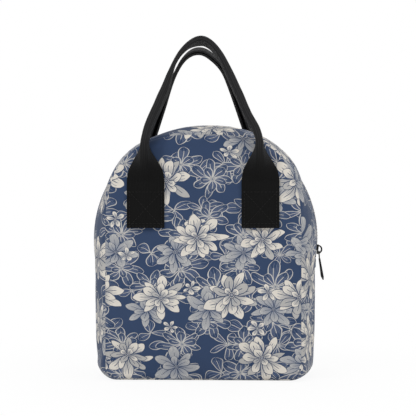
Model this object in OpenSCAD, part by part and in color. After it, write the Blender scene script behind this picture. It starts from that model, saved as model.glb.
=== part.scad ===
// Insulated lunch bag: two arched panels joined by a padded gusset, a zip that runs over the top
// from side to side, and two folded webbing handles. Millimetres, +Z up, front towards -Y.
// The origin is the middle of the flat base.

/* [Panels] */
// Width of the front and back panels, seam to seam
panel_w = 199; // [175:1:225]
// Height of the panels, from the floor to the top of the arch
panel_h = 248; // [225:1:275]
// Radius of the panels' bottom corners
corner_r = 13; // [9:1:20]
// Fullness of the arch: 2 is an ellipse, larger is squarer
arch_power = 3; // [2.6:0.1:3.4]
// Height of the arch's centre, about which the zip turns
waist_h = 142; // [132:1:152]

// How far the padded panels swell outwards under the fold
panel_swell = 4.5; // [0.5:0.5:8]
// Height of the flat strip between that swell and the fold
swell_drop = 5; // [3:0.5:12]

/* [Gusset] */
// Depth of the bag, outer face to outer face
body_d = 130; // [100:1:160]
// How far the zip line stands out past the panels' shoulders
shoulder_ease = 0.4; // [0.2:0.1:6]
// Half-width of the bag at the foot of the gusset's middle
foot_half_w = 111.5; // [108:0.5:113]
// Radius of the gusset's bottom corners
foot_r = 14; // [9:1:22]

/* [Layers] */
// Thickness of the printed canvas
outer_t = 0.8; // [0.6:0.1:1.2]
// Thickness of the foam
foam_t = 3.4; // [2:0.2:5]
// Thickness of the foil lining
lining_t = 0.4; // [0.3:0.1:0.6]
// Thickness of the binding over the inner seams
binding_t = 1.2; // [0.8:0.1:2]
// Width of that binding
binding_w = 9; // [6:0.5:14]

/* [Front fold] */
// How far below the waist the front panel folds when the bag opens
fold_drop = 5; // [3:0.5:7]
// Gap left at that fold between the fixed and the folding pieces
fold_gap = 0.4; // [0.3:0.1:0.6]

/* [Zip] */
// How far below the waist the zip's two ends lie
zip_end_drop = 20.5; // [19.5:0.5:26]
// Distance from the middle of the zip to the turned edge of the canvas
zip_lane = 9; // [7.5:0.5:12]
// Distance from the middle of the zip to the sewn edge of the tape
tape_reach = 15; // [13:0.5:18]
// Thickness of the zip tape
tape_t = 0.6; // [0.5:0.1:0.8]
// Half of the gap between the two tapes, where the slider's post runs
tape_gap = 0.7; // [0.65:0.05:1]
// Distance from the middle of the zip to the outside of the teeth
teeth_reach = 3; // [2.6:0.1:3.4]
// Height of the teeth over the tape
teeth_h = 1.9; // [1.5:0.1:2.4]
// Thickness of the cord that the teeth are sewn to
teeth_root_h = 0.9; // [0.6:0.1:1.2]
// Distance from one tooth to the next
teeth_pitch = 3; // [2.5:0.1:5]
// Length of the metal stop at each end of the zip
stop_l = 1.6; // [1:0.1:2]
// Length of the fabric tab over each end of the zip
end_tab_l = 11; // [8:0.5:16]
// Thickness of that tab
end_tab_t = 0.8; // [0.6:0.1:1.2]

/* [Slider] */
// Length of the slider along the zip
slider_l = 10; // [9:0.5:11]
// Thickness of the slider's plates
slider_t = 1.2; // [1:0.1:1.5]
// Thickness of the slider's side flanges
flange_t = 1; // [0.8:0.1:1.4]
// Width of the bridge that holds the pull
bridge_w = 2.2; // [1.8:0.1:2.8]
// Thickness of the bridge
bridge_t = 1.1; // [0.9:0.1:1.5]
// Diameter of the pull's cross bar
bar_d = 1.2; // [1:0.1:1.4]
// Length of the pull, from its cross bar to its tip
pull_l = 30; // [24:0.5:36]
// Width of the pull's tab
pull_w = 7; // [6:0.5:9]
// Thickness of the pull's tab
pull_t = 2; // [1.5:0.1:2.4]
// Tilt of the pull at rest, outwards from the zip
pull_tilt = 18; // [14:1:30]

/* [Handles] */
// Width of the flat webbing
web_w = 37.5; // [32:0.5:42]
// Thickness of the flat webbing
web_t = 2; // [1.5:0.1:2.5]
// Distance from the middle of the bag to the middle of each tab
tab_x = 57.4; // [52:0.2:62]
// Height of the tabs' lower ends
tab_z = 153; // [145:1:156]
// Height of the line where the webbing leaves the tab
strap_hinge_z = 199; // [190:1:204]
// Height above that line at which the webbing starts to fold
flare_start = 2; // [1:0.5:10]
// Thickness of the folded grip's legs, seen from the front
grip_t = 7.5; // [6:0.5:9]
// Thickness of the grip at its top, where it is pressed flatter
grip_top_t = 5; // [4:0.2:7]
// Depth of the folded grip, front to back
grip_d = 19; // [16:0.5:21]
// Height of the top of the grip
grip_top = 347; // [335:1:360]
// Radius of the grip's top bend, along its middle
grip_top_r = 20.5; // [18:0.5:26]
// Radius of the bend above each tab
grip_foot_r = 42; // [36:1:60]
// Slope of the grip's legs from upright
grip_splay = 24.6; // [22:0.2:27]
// Lean of the grip towards the middle of the bag
grip_lean = 12; // [6:0.5:16]

/* [Hidden] */

$fn = 48;
canvas_colour = "#34486b";
foam_colour = "#e9e8e2";
foil_colour = "#c3c7cb";
web_colour = "#1d1d1e";
zip_colour = "#232427";
metal_colour = "#43464b";
// Least gap between pieces that move past each other
run_gap = 0.35;
// Half-sizes of the panel's arch and of the bag
arch_a = panel_w / 2;
arch_b = panel_h - waist_h;
face_y = body_d / 2;
// Insets of each layer's faces from the outside of the bag
foam_in = outer_t + foam_t;
wall_t = foam_in + lining_t;
tape_in = outer_t + tape_t;
binding_in = wall_t + binding_t;
// Longest reach of the superellipse gives the zip's radius
reach_power = 2 * arch_power / (arch_power - 2);
shoulder_r = pow(pow(arch_a, reach_power) + pow(arch_b, reach_power), 1 / reach_power);
zip_r = shoulder_r + shoulder_ease;
// Heights of the fold and of the zip's ends
fold_z = waist_h - fold_drop;
fold_hi = fold_z + fold_gap / 2;
fold_lo = fold_z - fold_gap / 2;
zip_end_z = waist_h - zip_end_drop;
zip_end_a = asin(zip_end_drop / zip_r);
// The slider parks between the fold and the stop
stop_a = zip_end_a - stop_l / zip_r * 180 / PI / 2;
teeth_end_a = zip_end_a - stop_l / zip_r * 180 / PI;
fold_a = asin(fold_drop / zip_r);
park_a = (teeth_end_a + fold_a) / 2;

// ---- the walls -------------------------------------------------------------------------------
// A station is one place round the outline: [kind, value, side], side +1 on the right, -1 on the left.
ARCH = 0;
SIDE = 1;
CORNER = 2;
BASE = 3;
arch_step = 5;
corner_step = 18;
function right_side(heights) = [for (z = heights) [SIDE, z, 1]];
function left_side(heights) = [for (k = [len(heights) - 1:-1:0]) [SIDE, heights[k], -1]];
arch_stations = [for (a = [0:arch_step:180]) [ARCH, a, 1]];
base_stations = concat([for (a = [0:corner_step:90]) [CORNER, a, 1]], [[BASE, 0, 1]],
    [for (a = [90:-corner_step:0]) [CORNER, a, -1]]);
// The sides' lowest station stands this far over the corners
side_rise = 6;
side_heights = [for (k = [0:3]) zip_end_z + (max(corner_r, foot_r) + side_rise - zip_end_z) * k / 3];
front_stations = concat(right_side([fold_hi]), arch_stations, left_side([fold_hi]));
rear_stations = concat(right_side([zip_end_z, fold_z]), arch_stations, left_side([fold_z, zip_end_z]));
low_stations = concat(right_side(side_heights), base_stations, [for (s = right_side(side_heights))
    [SIDE, side_heights[3] + zip_end_z - s[1], -1]]);
stub_heights = [zip_end_z, fold_lo];

// Polar form of the arch, and a point on the panel's edge at a station, inset by t
function arch_reach(a, t) = pow(pow(abs(cos(a)) / (arch_a - t), arch_power)
    + pow(abs(sin(a)) / (arch_b - t), arch_power), -1 / arch_power);
function polar_pt(a, r) = [r * cos(a), waist_h + r * sin(a)];
function corner_pt(half_w, r, a, side, t) = [side * (half_w - r + (r - t) * cos(a)), r - (r - t) * sin(a)];
function panel_pt(s, t) = s[0] == ARCH ? polar_pt(s[1], arch_reach(s[1], t))
    : s[0] == SIDE ? [s[2] * (arch_a - t), s[1]]
    : s[0] == CORNER ? corner_pt(arch_a, corner_r, s[1], s[2], t)
    : [0, t];

// A point on the middle of the gusset: an arc about the waist, then sides that draw in to the foot
function zip_x(z, t) = sqrt(pow(zip_r - t, 2) - pow(z - waist_h, 2));
function low_side_x(z, t) = foot_half_w - t
    + (zip_x(zip_end_z, t) - foot_half_w + t) * (z - foot_r) / (zip_end_z - foot_r);
function gusset_pt(s, t) = s[0] == ARCH ? polar_pt(s[1], zip_r - t)
    : s[0] == SIDE ? [s[2] * (s[1] >= zip_end_z ? zip_x(s[1], t) : low_side_x(s[1], t)), s[1]]
    : s[0] == CORNER ? corner_pt(foot_half_w, foot_r, s[1], s[2], t)
    : [0, t];

// The gusset's fullness across the bag, 0 at the panels and 1 over the zip's lane
function fullness(y) = 1 - pow(max(0, abs(y) - zip_lane) / (face_y - outer_t - zip_lane), 2);
function wall_pt(s, y, t) = let (p = panel_pt(s, t), m = gusset_pt(s, t), f = fullness(y))
    [p[0] + (m[0] - p[0]) * f, y, p[1] + (m[1] - p[1]) * f];

// One layer of the gusset between two insets; ins and outs give the inset at each y
module wall(stations, ys, outs, ins) {
    n = len(stations);
    m = len(ys);
    skin = n * m;
    points = concat([for (s = stations) for (j = [0:m - 1]) wall_pt(s, ys[j], outs[j])],
        [for (s = stations) for (j = [0:m - 1]) wall_pt(s, ys[j], ins[j])]);
    faces = concat(
        [for (i = [0:n - 2]) for (j = [0:m - 2]) let (a = i * m + j) each
            [[a, a + m, a + m + 1], [a, a + m + 1, a + 1],
            [skin + a, skin + a + m + 1, skin + a + m], [skin + a, skin + a + 1, skin + a + m + 1]]],
        [for (i = [0:n - 2]) each let (a = i * m, b = i * m + m - 1)
            [[a, skin + a, skin + a + m], [a, skin + a + m, a + m],
            [b, b + m, skin + b + m], [b, skin + b + m, skin + b]]],
        [for (j = [0:m - 2]) each let (a = j, b = (n - 1) * m + j)
            [[a, a + 1, skin + a + 1], [a, skin + a + 1, skin + a],
            [b, skin + b, skin + b + 1], [b, skin + b + 1, b + 1]]]);
    polyhedron(points, faces);
}
function flat(ys, t) = [for (y = ys) t];

// Rows of points across the gusset, from the zip's lane to the panel's back face
function row_at(k) = tape_reach + (face_y - tape_reach) * k;
mid_rows = [row_at(0.25), row_at(0.5), row_at(0.75)];
// Each layer keeps the rows of the one inside it, so that their shared faces match
lining_rows = concat([zip_lane, tape_reach], mid_rows, [face_y - wall_t]);
foam_rows = concat(lining_rows, [face_y - foam_in]);
outer_rows = concat(foam_rows, [face_y - outer_t]);
foam_outs = concat([tape_in, tape_in], flat(mid_rows, outer_t), [outer_t, outer_t]);
function full_rows(rows) = concat([for (k = [len(rows) - 1:-1:0]) -rows[k]], rows);
function full_flat(rows, t) = flat(full_rows(rows), t);
function to_front(rows) = [for (k = [len(rows) - 1:-1:0]) -rows[k]];
function back_order(list) = [for (k = [len(list) - 1:-1:0]) list[k]];

module rear_wall(rows, outs, ins) wall(rear_stations, rows, outs, ins);
module front_wall(rows, outs, ins) wall(front_stations, to_front(rows), back_order(outs), back_order(ins));
module low_wall(rows, outs, ins) {
    wall(back_order(low_stations), full_rows(rows), full_flat(rows, outs[len(outs) - 1]),
        full_flat(rows, ins[0]));
    for (s = [1, -1]) low_stub(s, rows, outs, ins);
}
module low_stub(side, rows, outs, ins)
    wall(side > 0 ? right_side(stub_heights) : left_side(stub_heights), to_front(rows),
        back_order(outs), back_order(ins));

// A flat layer of a panel, from depth in to depth in + t behind the face, inset by edge
module panel(stations, edge, depth, t) {
    translate([0, depth + t - face_y, 0]) rotate([90, 0, 0])
        linear_extrude(t) polygon([for (s = stations) panel_pt(s, edge)]);
}
full_stations = concat(arch_stations, back_order(low_stations));
under_fold = concat(left_side([fold_lo]), back_order(low_stations), right_side([fold_lo]));

// The swell: rings of points that shrink about its middle, inside a flat rim that carries the binding
swell_rings = 3;
swell_top = fold_lo - swell_drop;
// The flat part over the swell laps the rim, so that the back panel is one solid
over_swell = concat(right_side([swell_top]), arch_stations, left_side([swell_top]));
swell_mid_z = (swell_top + binding_in) / 2;
function swell_pt(s, share) = let (p = panel_pt(s, binding_in))
    [p[0] * share, swell_mid_z + (min(p[1], swell_top) - swell_mid_z) * share];
function swell_out(share) = panel_swell * (1 - pow(share, 2));
function swell_face(stations, edge, y) = concat(
    [for (s = stations) let (p = panel_pt(s, edge)) [p[0], y, p[1]]],
    [for (k = [0:swell_rings - 1]) let (share = 1 - k / swell_rings) each
        [for (s = stations) let (p = swell_pt(s, share)) [p[0], y - swell_out(share), p[1]]]],
    [[0, y - panel_swell, swell_mid_z]]);

// A layer of a panel under the fold, from depth in to depth in + t behind the face, inset by edge
module swollen(edge, depth, t) {
    n = len(under_fold);
    hub = n * (swell_rings + 1);
    skin = hub + 1;
    front = concat(
        [for (k = [0:swell_rings - 1]) for (j = [0:n - 1]) let (a = k * n + j, b = k * n + (j + 1) % n) each
            [[a, b + n, b], [a, a + n, b + n]]],
        [for (j = [0:n - 1]) [hub - n + j, hub, hub - n + (j + 1) % n]]);
    back = [for (f = front) [skin + f[2], skin + f[1], skin + f[0]]];
    rim = [for (a = [0:n - 1]) let (b = (a + 1) % n) each [[a, b, skin + b], [a, skin + b, skin + a]]];
    polyhedron(concat(swell_face(under_fold, edge, depth - face_y),
        swell_face(under_fold, edge, depth + t - face_y)), concat(front, back, rim));
}
module back_layer(edge, depth, t) {
    at_back() {
        swollen(edge, depth, t);
        panel(over_swell, edge, depth, t);
    }
}
module at_back() { mirror([0, 1, 0]) children(); }

module back_panel_outer() { color(canvas_colour) back_layer(0, 0, outer_t); }
module back_panel_foam() { color(foam_colour) back_layer(outer_t, outer_t, foam_t); }
module back_panel_lining() { color(foil_colour) back_layer(foam_in, foam_in, lining_t); }
module front_lower_outer() { color(canvas_colour) swollen(0, 0, outer_t); }
module front_lower_foam() { color(foam_colour) swollen(outer_t, outer_t, foam_t); }
module front_lower_lining() { color(foil_colour) swollen(foam_in, foam_in, lining_t); }
module front_upper_outer() { color(canvas_colour) panel(front_stations, 0, 0, outer_t); }
module front_upper_foam() { color(foam_colour) panel(front_stations, outer_t, outer_t, foam_t); }
module front_upper_lining() { color(foil_colour) panel(front_stations, foam_in, foam_in, lining_t); }

module lower_gusset_outer() { color(canvas_colour)
    low_wall(outer_rows, flat(outer_rows, 0), flat(outer_rows, outer_t)); }
module lower_gusset_foam() { color(foam_colour) low_wall(foam_rows, foam_outs, flat(foam_rows, foam_in)); }
module lower_gusset_lining() { color(foil_colour)
    low_wall(lining_rows, flat(lining_rows, foam_in), flat(lining_rows, wall_t)); }
module rear_gusset_outer() { color(canvas_colour)
    rear_wall(outer_rows, flat(outer_rows, 0), flat(outer_rows, outer_t)); }
module rear_gusset_foam() { color(foam_colour) rear_wall(foam_rows, foam_outs, flat(foam_rows, foam_in)); }
module rear_gusset_lining() { color(foil_colour)
    rear_wall(lining_rows, flat(lining_rows, foam_in), flat(lining_rows, wall_t)); }
module front_gusset_outer() { color(canvas_colour)
    front_wall(outer_rows, flat(outer_rows, 0), flat(outer_rows, outer_t)); }
module front_gusset_foam() { color(foam_colour) front_wall(foam_rows, foam_outs, flat(foam_rows, foam_in)); }
module front_gusset_lining() { color(foil_colour)
    front_wall(lining_rows, flat(lining_rows, foam_in), flat(lining_rows, wall_t)); }

// ---- binding over the raw edges inside ---------------------------------------------------------
module binding(outer_edge) {
    translate([0, wall_t + binding_w - face_y, 0]) rotate([90, 0, 0]) linear_extrude(binding_w)
        polygon(concat([for (s = outer_edge) panel_pt(s, wall_t)],
            [for (s = back_order(outer_edge)) panel_pt(s, binding_in)]));
}
module rear_binding() { color(web_colour) at_back()
    translate([0, wall_t + binding_w - face_y, 0]) rotate([90, 0, 0]) linear_extrude(binding_w) difference() {
        polygon([for (s = full_stations) panel_pt(s, wall_t)]);
        polygon([for (s = full_stations) panel_pt(s, binding_in)]);
    } }
module front_lower_binding() { color(web_colour) binding(under_fold); }
module front_upper_binding() { color(web_colour) binding(front_stations); }

// ---- zip ---------------------------------------------------------------------------------------
tape_rows = [tape_gap, zip_lane, tape_reach];
module rear_zip_tape() { color(zip_colour)
    rear_wall(tape_rows, flat(tape_rows, outer_t), flat(tape_rows, tape_in)); }
module front_zip_tape() { color(zip_colour)
    front_wall(tape_rows, flat(tape_rows, outer_t), flat(tape_rows, tape_in)); }
module front_tape_ends() { color(zip_colour) for (s = [1, -1])
    low_stub(s, tape_rows, flat(tape_rows, outer_t), flat(tape_rows, tape_in)); }

// A run of teeth on their cord, from angle a0 to a1 about the waist, at y from y0 to y1
teeth_r = zip_r - outer_t;
tooth_turn = teeth_pitch / teeth_r * 180 / PI;
module teeth(a0, a1, y1) {
    count = floor((a1 - a0) / tooth_turn);
    root = teeth_r + teeth_root_h;
    tip = teeth_r + teeth_h;
    crown = concat([for (k = [0:count - 1]) each let (a = a0 + k * tooth_turn)
        [[a, root], [a, tip], [a + tooth_turn / 2, tip], [a + tooth_turn / 2, root]]], [[a1, root]]);
    foot = [for (k = [0:count]) [a1 - (a1 - a0) * k / count, teeth_r]];
    translate([0, y1, waist_h]) rotate([90, 0, 0]) linear_extrude(teeth_reach - tape_gap)
        polygon([for (p = concat(crown, foot)) p[1] * [cos(p[0]), sin(p[0])]]);
}
fold_hi_a = asin((waist_h - fold_hi) / teeth_r);
fold_lo_a = asin((waist_h - fold_lo) / (teeth_r + teeth_h));
module rear_zip_teeth() { color(zip_colour) teeth(-teeth_end_a, 180 + teeth_end_a, teeth_reach); }
module front_zip_teeth() { color(zip_colour) intersection() {
    teeth(-fold_hi_a, 180 + fold_hi_a, -tape_gap);
    translate([0, 0, fold_hi + panel_h]) cube([4 * zip_r, 2 * body_d, 2 * panel_h], center = true);
} }
module front_teeth_ends() { color(zip_colour) for (m = [0, 1]) mirror([m, 0, 0])
    teeth(-teeth_end_a, -fold_lo_a, -tape_gap); }

// Local frame on the zip at angle a: x outwards from the canvas, y across, z along the zip
module on_zip(a) { translate([0, 0, waist_h]) rotate([0, -a, 0]) translate([zip_r, 0, 0]) children(); }
module block(low, high) { translate(low) cube(high - low); }

module zip_stops() { color(metal_colour) for (m = [0, 1]) mirror([m, 0, 0]) on_zip(-stop_a)
    block([-outer_t, -teeth_reach, -stop_l / 2 + 0.15], [teeth_h - outer_t, teeth_reach, stop_l / 2 - 0.15]); }
tab_rows = [-zip_lane, 0, zip_lane];
end_tab_heights = [zip_end_z - end_tab_l, zip_end_z];
module zip_end_tabs() { color(canvas_colour) for (m = [0, 1]) mirror([m, 0, 0])
    wall(right_side(end_tab_heights), tab_rows, flat(tab_rows, -end_tab_t), flat(tab_rows, 0)); }

// Slider: two plates joined by a post in the gap between the tapes, flanges beside the teeth, and a bridge
plate_lo = teeth_h - outer_t + run_gap;
plate_hi = plate_lo + slider_t;
floor_hi = -tape_in - run_gap - 0.25;
floor_lo = floor_hi - slider_t;
flange_y = teeth_reach + run_gap;
slider_half_w = flange_y + flange_t;
// The bridge is a half-ellipse over the plate; the bar lies low in its window
window_h = bar_d + 4 * run_gap;
window_l = slider_l * 0.62;
bar_room = bar_d + 2 * run_gap;
bar_x = plate_hi + bar_room / 2;
bar_z = -window_l / 2 * sqrt(1 - pow(bar_room / window_h, 2));
function half_ellipse(h, l) = [for (a = [0:15:180]) [plate_hi + h * sin(a), l / 2 * cos(a)]];
module slider_plate(lo, hi) {
    translate([lo, 0, 0]) rotate([90, 0, 90]) linear_extrude(hi - lo) polygon([
        [-slider_half_w, slider_l / 2], [slider_half_w, slider_l / 2],
        [slider_half_w, 0], [slider_half_w * 0.7, -slider_l / 2],
        [-slider_half_w * 0.7, -slider_l / 2], [-slider_half_w, 0]]);
}
module zip_slider() { color(metal_colour) on_zip(-park_a) {
    slider_plate(plate_lo, plate_hi);
    slider_plate(floor_lo, floor_hi);
    block([floor_hi, run_gap - tape_gap, -slider_l * 0.1], [plate_lo, tape_gap - run_gap, slider_l * 0.4]);
    for (s = [0, 1]) mirror([0, s, 0])
        block([run_gap - outer_t, flange_y, 0], [plate_lo, slider_half_w, slider_l / 2]);
    translate([0, bridge_w / 2, 0]) rotate([90, 0, 0]) linear_extrude(bridge_w)
        polygon(concat(half_ellipse(window_h + bridge_t, window_l + 2 * bridge_t),
            back_order(half_ellipse(window_h, window_l))));
} }

// Pull: a cross bar through the bridge, two arms and a tab with a slot; it hangs along -z
arm_in = bridge_w / 2 + run_gap;
arm_l = norm([window_l / 2 + bridge_t - bar_z, window_h + bridge_t - bar_room / 2]) + run_gap;
module zip_pull() { color(metal_colour) on_zip(-park_a) translate([bar_x, 0, bar_z]) rotate([0, -pull_tilt, 0]) {
    rotate([90, 0, 0]) cylinder(d = bar_d, h = 2 * arm_in + 1, center = true);
    for (s = [0, 1]) mirror([0, s, 0])
        block([-bar_d / 2, arm_in, -arm_l - 1], [bar_d / 2, pull_w / 2, bar_d / 2]);
    difference() {
        block([-pull_t / 2, -pull_w / 2, -pull_l + pull_w / 2], [pull_t / 2, pull_w / 2, -arm_l]);
        translate([0, 0, -pull_l + pull_w / 2 + 1]) rotate([0, 90, 0])
            cylinder(d = pull_w * 0.4, h = 2 * pull_t, center = true);
    }
    translate([0, 0, -pull_l + pull_w / 2]) rotate([0, 90, 0]) difference() {
        cylinder(d = pull_w, h = pull_t, center = true);
        translate([-1, 0, 0]) cylinder(d = pull_w * 0.4, h = 2 * pull_t, center = true);
    }
} }

// ---- handles -----------------------------------------------------------------------------------
module strap_tab(side) {
    translate([side * tab_x, -face_y, 0]) rotate([90, 0, 0]) linear_extrude(web_t) polygon([
        [-web_w / 2, tab_z], [web_w / 2, tab_z],
        [web_w / 2, strap_hinge_z - run_gap], [-web_w / 2, strap_hinge_z - run_gap]]);
}
module front_tab_left() { color(web_colour) strap_tab(-1); }
module front_tab_right() { color(web_colour) strap_tab(1); }
module back_tab_left() { color(web_colour) at_back() strap_tab(-1); }
module back_tab_right() { color(web_colour) at_back() strap_tab(1); }

// Middle line of the grip: upright at the tab, bent in, straight, round the top and down again
grip_mid_top = grip_top - grip_top_t / 2;
foot_arc_z = grip_mid_top - grip_top_r
    - (grip_foot_r - grip_top_r + (tab_x - grip_foot_r) * cos(grip_splay)) / sin(grip_splay);
foot_arc_steps = 4;
top_arc_steps = 9;
function arc_pts(c, r0, r1, a0, a1, n) = [for (k = [0:n])
    let (a = a0 + (a1 - a0) * k / n, r = r0 + (r1 - r0) * k / n) c + r * [cos(a), sin(a)]];
function grip_half(side) = concat(
    arc_pts([tab_x - grip_foot_r, foot_arc_z], grip_foot_r + side * grip_t / 2,
        grip_foot_r + side * grip_t / 2, 0, grip_splay, foot_arc_steps),
    arc_pts([0, grip_mid_top - grip_top_r], grip_top_r + side * grip_t / 2,
        grip_top_r + side * grip_top_t / 2, grip_splay, 90, top_arc_steps));
function mirrored(pts) = [for (p = back_order(pts)) [-p[0], p[1]]];
function grip_line(side) = concat(grip_half(side), [for (k = [len(grip_half(side)) - 2:-1:0])
    [-grip_half(side)[k][0], grip_half(side)[k][1]]]);

// Above the panel's arch the grip leans towards the middle of the bag
function edge_z(x) = waist_h + arch_b * pow(1 - pow(x / arch_a, arch_power), 1 / arch_power);
lean_z = edge_z(tab_x - grip_t / 2) + run_gap;
function lean_y(z) = max(0, z - lean_z) * tan(grip_lean);
function at_depth(p, depth) = [p[0], lean_y(p[1]) - depth, p[1]];
module grip() {
    outside = grip_line(1);
    inside = grip_line(-1);
    last = 4 * (len(outside) - 1);
    points = [for (k = [0:len(outside) - 1]) each
        [at_depth(outside[k], 0), at_depth(inside[k], 0),
        at_depth(inside[k], grip_d), at_depth(outside[k], grip_d)]];
    sides = [for (k = [0:4:last - 4]) for (j = [0:3]) let (a = k + j, b = k + (j + 1) % 4) each
        [[a, b + 4, b], [a, a + 4, b + 4]]];
    polyhedron(points, concat(sides, [[0, 1, 2, 3], [last + 3, last + 2, last + 1, last]]));
}

// The strap narrows from flat webbing to the folded grip between these heights
flare_z0 = strap_hinge_z + flare_start;
flare_z1 = foot_arc_z;
flare_steps = 8;
function ease(k) = (1 - cos(180 * k)) / 2;
function flare(from, to) = [for (k = [0:flare_steps])
    [from + (to - from) * ease(k / flare_steps), flare_z0 + (flare_z1 - flare_z0) * k / flare_steps]];
strap_foot_z = strap_hinge_z + run_gap;
module strap_flare() {
    half = concat([[web_w / 2, strap_foot_z]], flare(web_w / 2, grip_t / 2));
    depth = concat([[web_t, strap_foot_z]], flare(web_t, grip_d));
    intersection() {
        rotate([90, 0, 0]) linear_extrude(grip_d) polygon(concat(half, mirrored(half)));
        rotate([90, 0, -90]) linear_extrude(web_w, center = true)
            polygon(concat(depth, [[0, flare_z1], [0, strap_foot_z]]));
    }
}
module handle_loop() {
    translate([0, -face_y - run_gap, 0]) {
        for (s = [1, -1]) translate([s * tab_x, 0, 0]) strap_flare();
        grip();
    }
}
module front_handle_loop() { color(web_colour) handle_loop(); }
module back_handle_loop() { color(web_colour) at_back() handle_loop(); }

back_panel_outer();
back_panel_foam();
back_panel_lining();
front_lower_outer();
front_lower_foam();
front_lower_lining();
front_upper_outer();
front_upper_foam();
front_upper_lining();
lower_gusset_outer();
lower_gusset_foam();
lower_gusset_lining();
rear_gusset_outer();
rear_gusset_foam();
rear_gusset_lining();
front_gusset_outer();
front_gusset_foam();
front_gusset_lining();
rear_binding();
front_lower_binding();
front_upper_binding();
rear_zip_tape();
rear_zip_teeth();
front_zip_tape();
front_zip_teeth();
front_tape_ends();
front_teeth_ends();
zip_stops();
zip_end_tabs();
zip_slider();
zip_pull();
front_tab_left();
front_tab_right();
back_tab_left();
back_tab_right();
front_handle_loop();
back_handle_loop();
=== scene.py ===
"""The insulated lunch bag, dressed: printed canvas over foam, foil lining, webbing handles and zip.

Sizes are in millimetres until a mesh is made. +Z is up and the front faces -Y.
"""
import math

import bmesh
import bpy
import numpy as np
from mathutils import Matrix, Vector
from mathutils.bvhtree import BVHTree
from mathutils.kdtree import KDTree


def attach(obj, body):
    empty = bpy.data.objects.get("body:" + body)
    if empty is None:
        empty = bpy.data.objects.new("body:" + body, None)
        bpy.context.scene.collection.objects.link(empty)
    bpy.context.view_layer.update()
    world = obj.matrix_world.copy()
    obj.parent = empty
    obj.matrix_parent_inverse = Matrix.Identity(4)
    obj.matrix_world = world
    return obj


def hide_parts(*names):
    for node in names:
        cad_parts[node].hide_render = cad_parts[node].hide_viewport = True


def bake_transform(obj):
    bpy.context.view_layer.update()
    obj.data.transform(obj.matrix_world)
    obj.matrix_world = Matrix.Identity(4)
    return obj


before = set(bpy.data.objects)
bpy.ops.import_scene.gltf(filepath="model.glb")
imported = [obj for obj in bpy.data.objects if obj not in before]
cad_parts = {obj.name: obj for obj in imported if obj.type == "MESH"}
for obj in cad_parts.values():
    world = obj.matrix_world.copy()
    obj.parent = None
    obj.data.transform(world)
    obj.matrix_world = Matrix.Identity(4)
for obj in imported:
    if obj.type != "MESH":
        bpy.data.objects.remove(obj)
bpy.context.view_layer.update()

# ---- sizes ---------------------------------------------------------------------------
MM = 0.001
# The panels: half-width, the arch's centre and top, its fullness, the bottom corners
PANEL_A, WAIST_Z, PANEL_TOP = 99.5, 142.0, 248.0
PANEL_B = PANEL_TOP - WAIST_Z
ARCH_POWER, CORNER_R = 3.0, 13.0
# The gusset's middle: its half-width and corners at the foot, and the zip's arc
FOOT_HALF_W, FOOT_R = 111.5, 14.0
ZIP_R, ZIP_END_Z = 116.02, 121.5
# Half the bag's depth
FACE_Y = 65.0
# From the zip's middle: to the tape's inner edge, the canvas's turned edge, the tape's sewn edge
TAPE_GAP, ZIP_LANE, TAPE_REACH = 0.7, 9.0, 15.0
# The layers' thicknesses, and that of canvas and foam sewn together
OUTER_T, FOAM_T, LINING_T, WALL_T = 0.8, 3.4, 0.4, 4.6
PAD_T, TAPE_T = 3.1, 0.6
# The sewn tabs: their middle, lower end, and the line where the webbing leaves them
TAB_X, TAB_Z, HINGE_Z = 57.4, 153.0, 199.0
WEB_W, WEB_T = 37.5, 2.0
# Least gap between pieces that move past each other
RUN_GAP = 0.35
# Below the first point the front stays with the bag, above the second it turns with the flap
BAG_MIDDLE = Vector((0, 0, 120))


def smoothstep(low, high, x):
    """0 below low, 1 above high, and a smooth rise between."""
    t = np.clip((np.asarray(x, float) - low) / (high - low), 0, 1)
    return t * t * (3 - 2 * t)


# ---- meshes --------------------------------------------------------------------------
def make_object(name, points, faces, uv=None, material=None):
    """A mesh object from points in millimetres, with a UV in millimetres for each point."""
    mesh = bpy.data.meshes.new(name)
    mesh.from_pydata([tuple(p) for p in np.asarray(points, float) * MM], [],
                     [tuple(f) for f in faces])
    if uv is not None:
        corners = np.zeros(len(mesh.loops), int)
        mesh.loops.foreach_get("vertex_index", corners)
        layer = mesh.uv_layers.new(name="cloth")
        layer.data.foreach_set("uv", (np.asarray(uv, float)[corners] * MM).ravel())
    mesh.polygons.foreach_set("use_smooth", [True] * len(mesh.polygons))
    mesh.update()
    if material:
        mesh.materials.append(material)
    return link_object(name, mesh)


def link_object(name, data):
    """An object in the scene around a mesh, camera or lamp."""
    obj = bpy.data.objects.new(name, data)
    bpy.context.scene.collection.objects.link(obj)
    return obj


def grid_faces(rows, columns, close=False):
    """Quads over a grid of points stored row by row."""
    last = columns if close else columns - 1
    return [(i * columns + j, i * columns + (j + 1) % columns,
             (i + 1) * columns + (j + 1) % columns, (i + 1) * columns + j)
            for i in range(rows - 1) for j in range(last)]


def bake(obj):
    """Applies the object's modifiers to its mesh."""
    graph = bpy.context.evaluated_depsgraph_get()
    graph.update()
    mesh = bpy.data.meshes.new_from_object(obj.evaluated_get(graph), depsgraph=graph)
    old = obj.data
    obj.modifiers.clear()
    obj.data = mesh
    mesh.name = obj.name
    bpy.data.meshes.remove(old)
    return obj


def thicken(obj, thick, offset=-1):
    """Gives an open sheet its thickness in millimetres; an offset of -1 puts it all inside."""
    wall = obj.modifiers.new("thick", "SOLIDIFY")
    wall.thickness, wall.offset = thick * MM, offset
    return bake(obj)


def turn_out(obj):
    """Flips an open sheet whose faces point towards the bag's middle."""
    mesh = obj.data
    away = sum((face.center / MM - BAG_MIDDLE).dot(face.normal) * face.area
               for face in mesh.polygons)
    if away < 0:
        mesh.flip_normals()
    return obj


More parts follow.
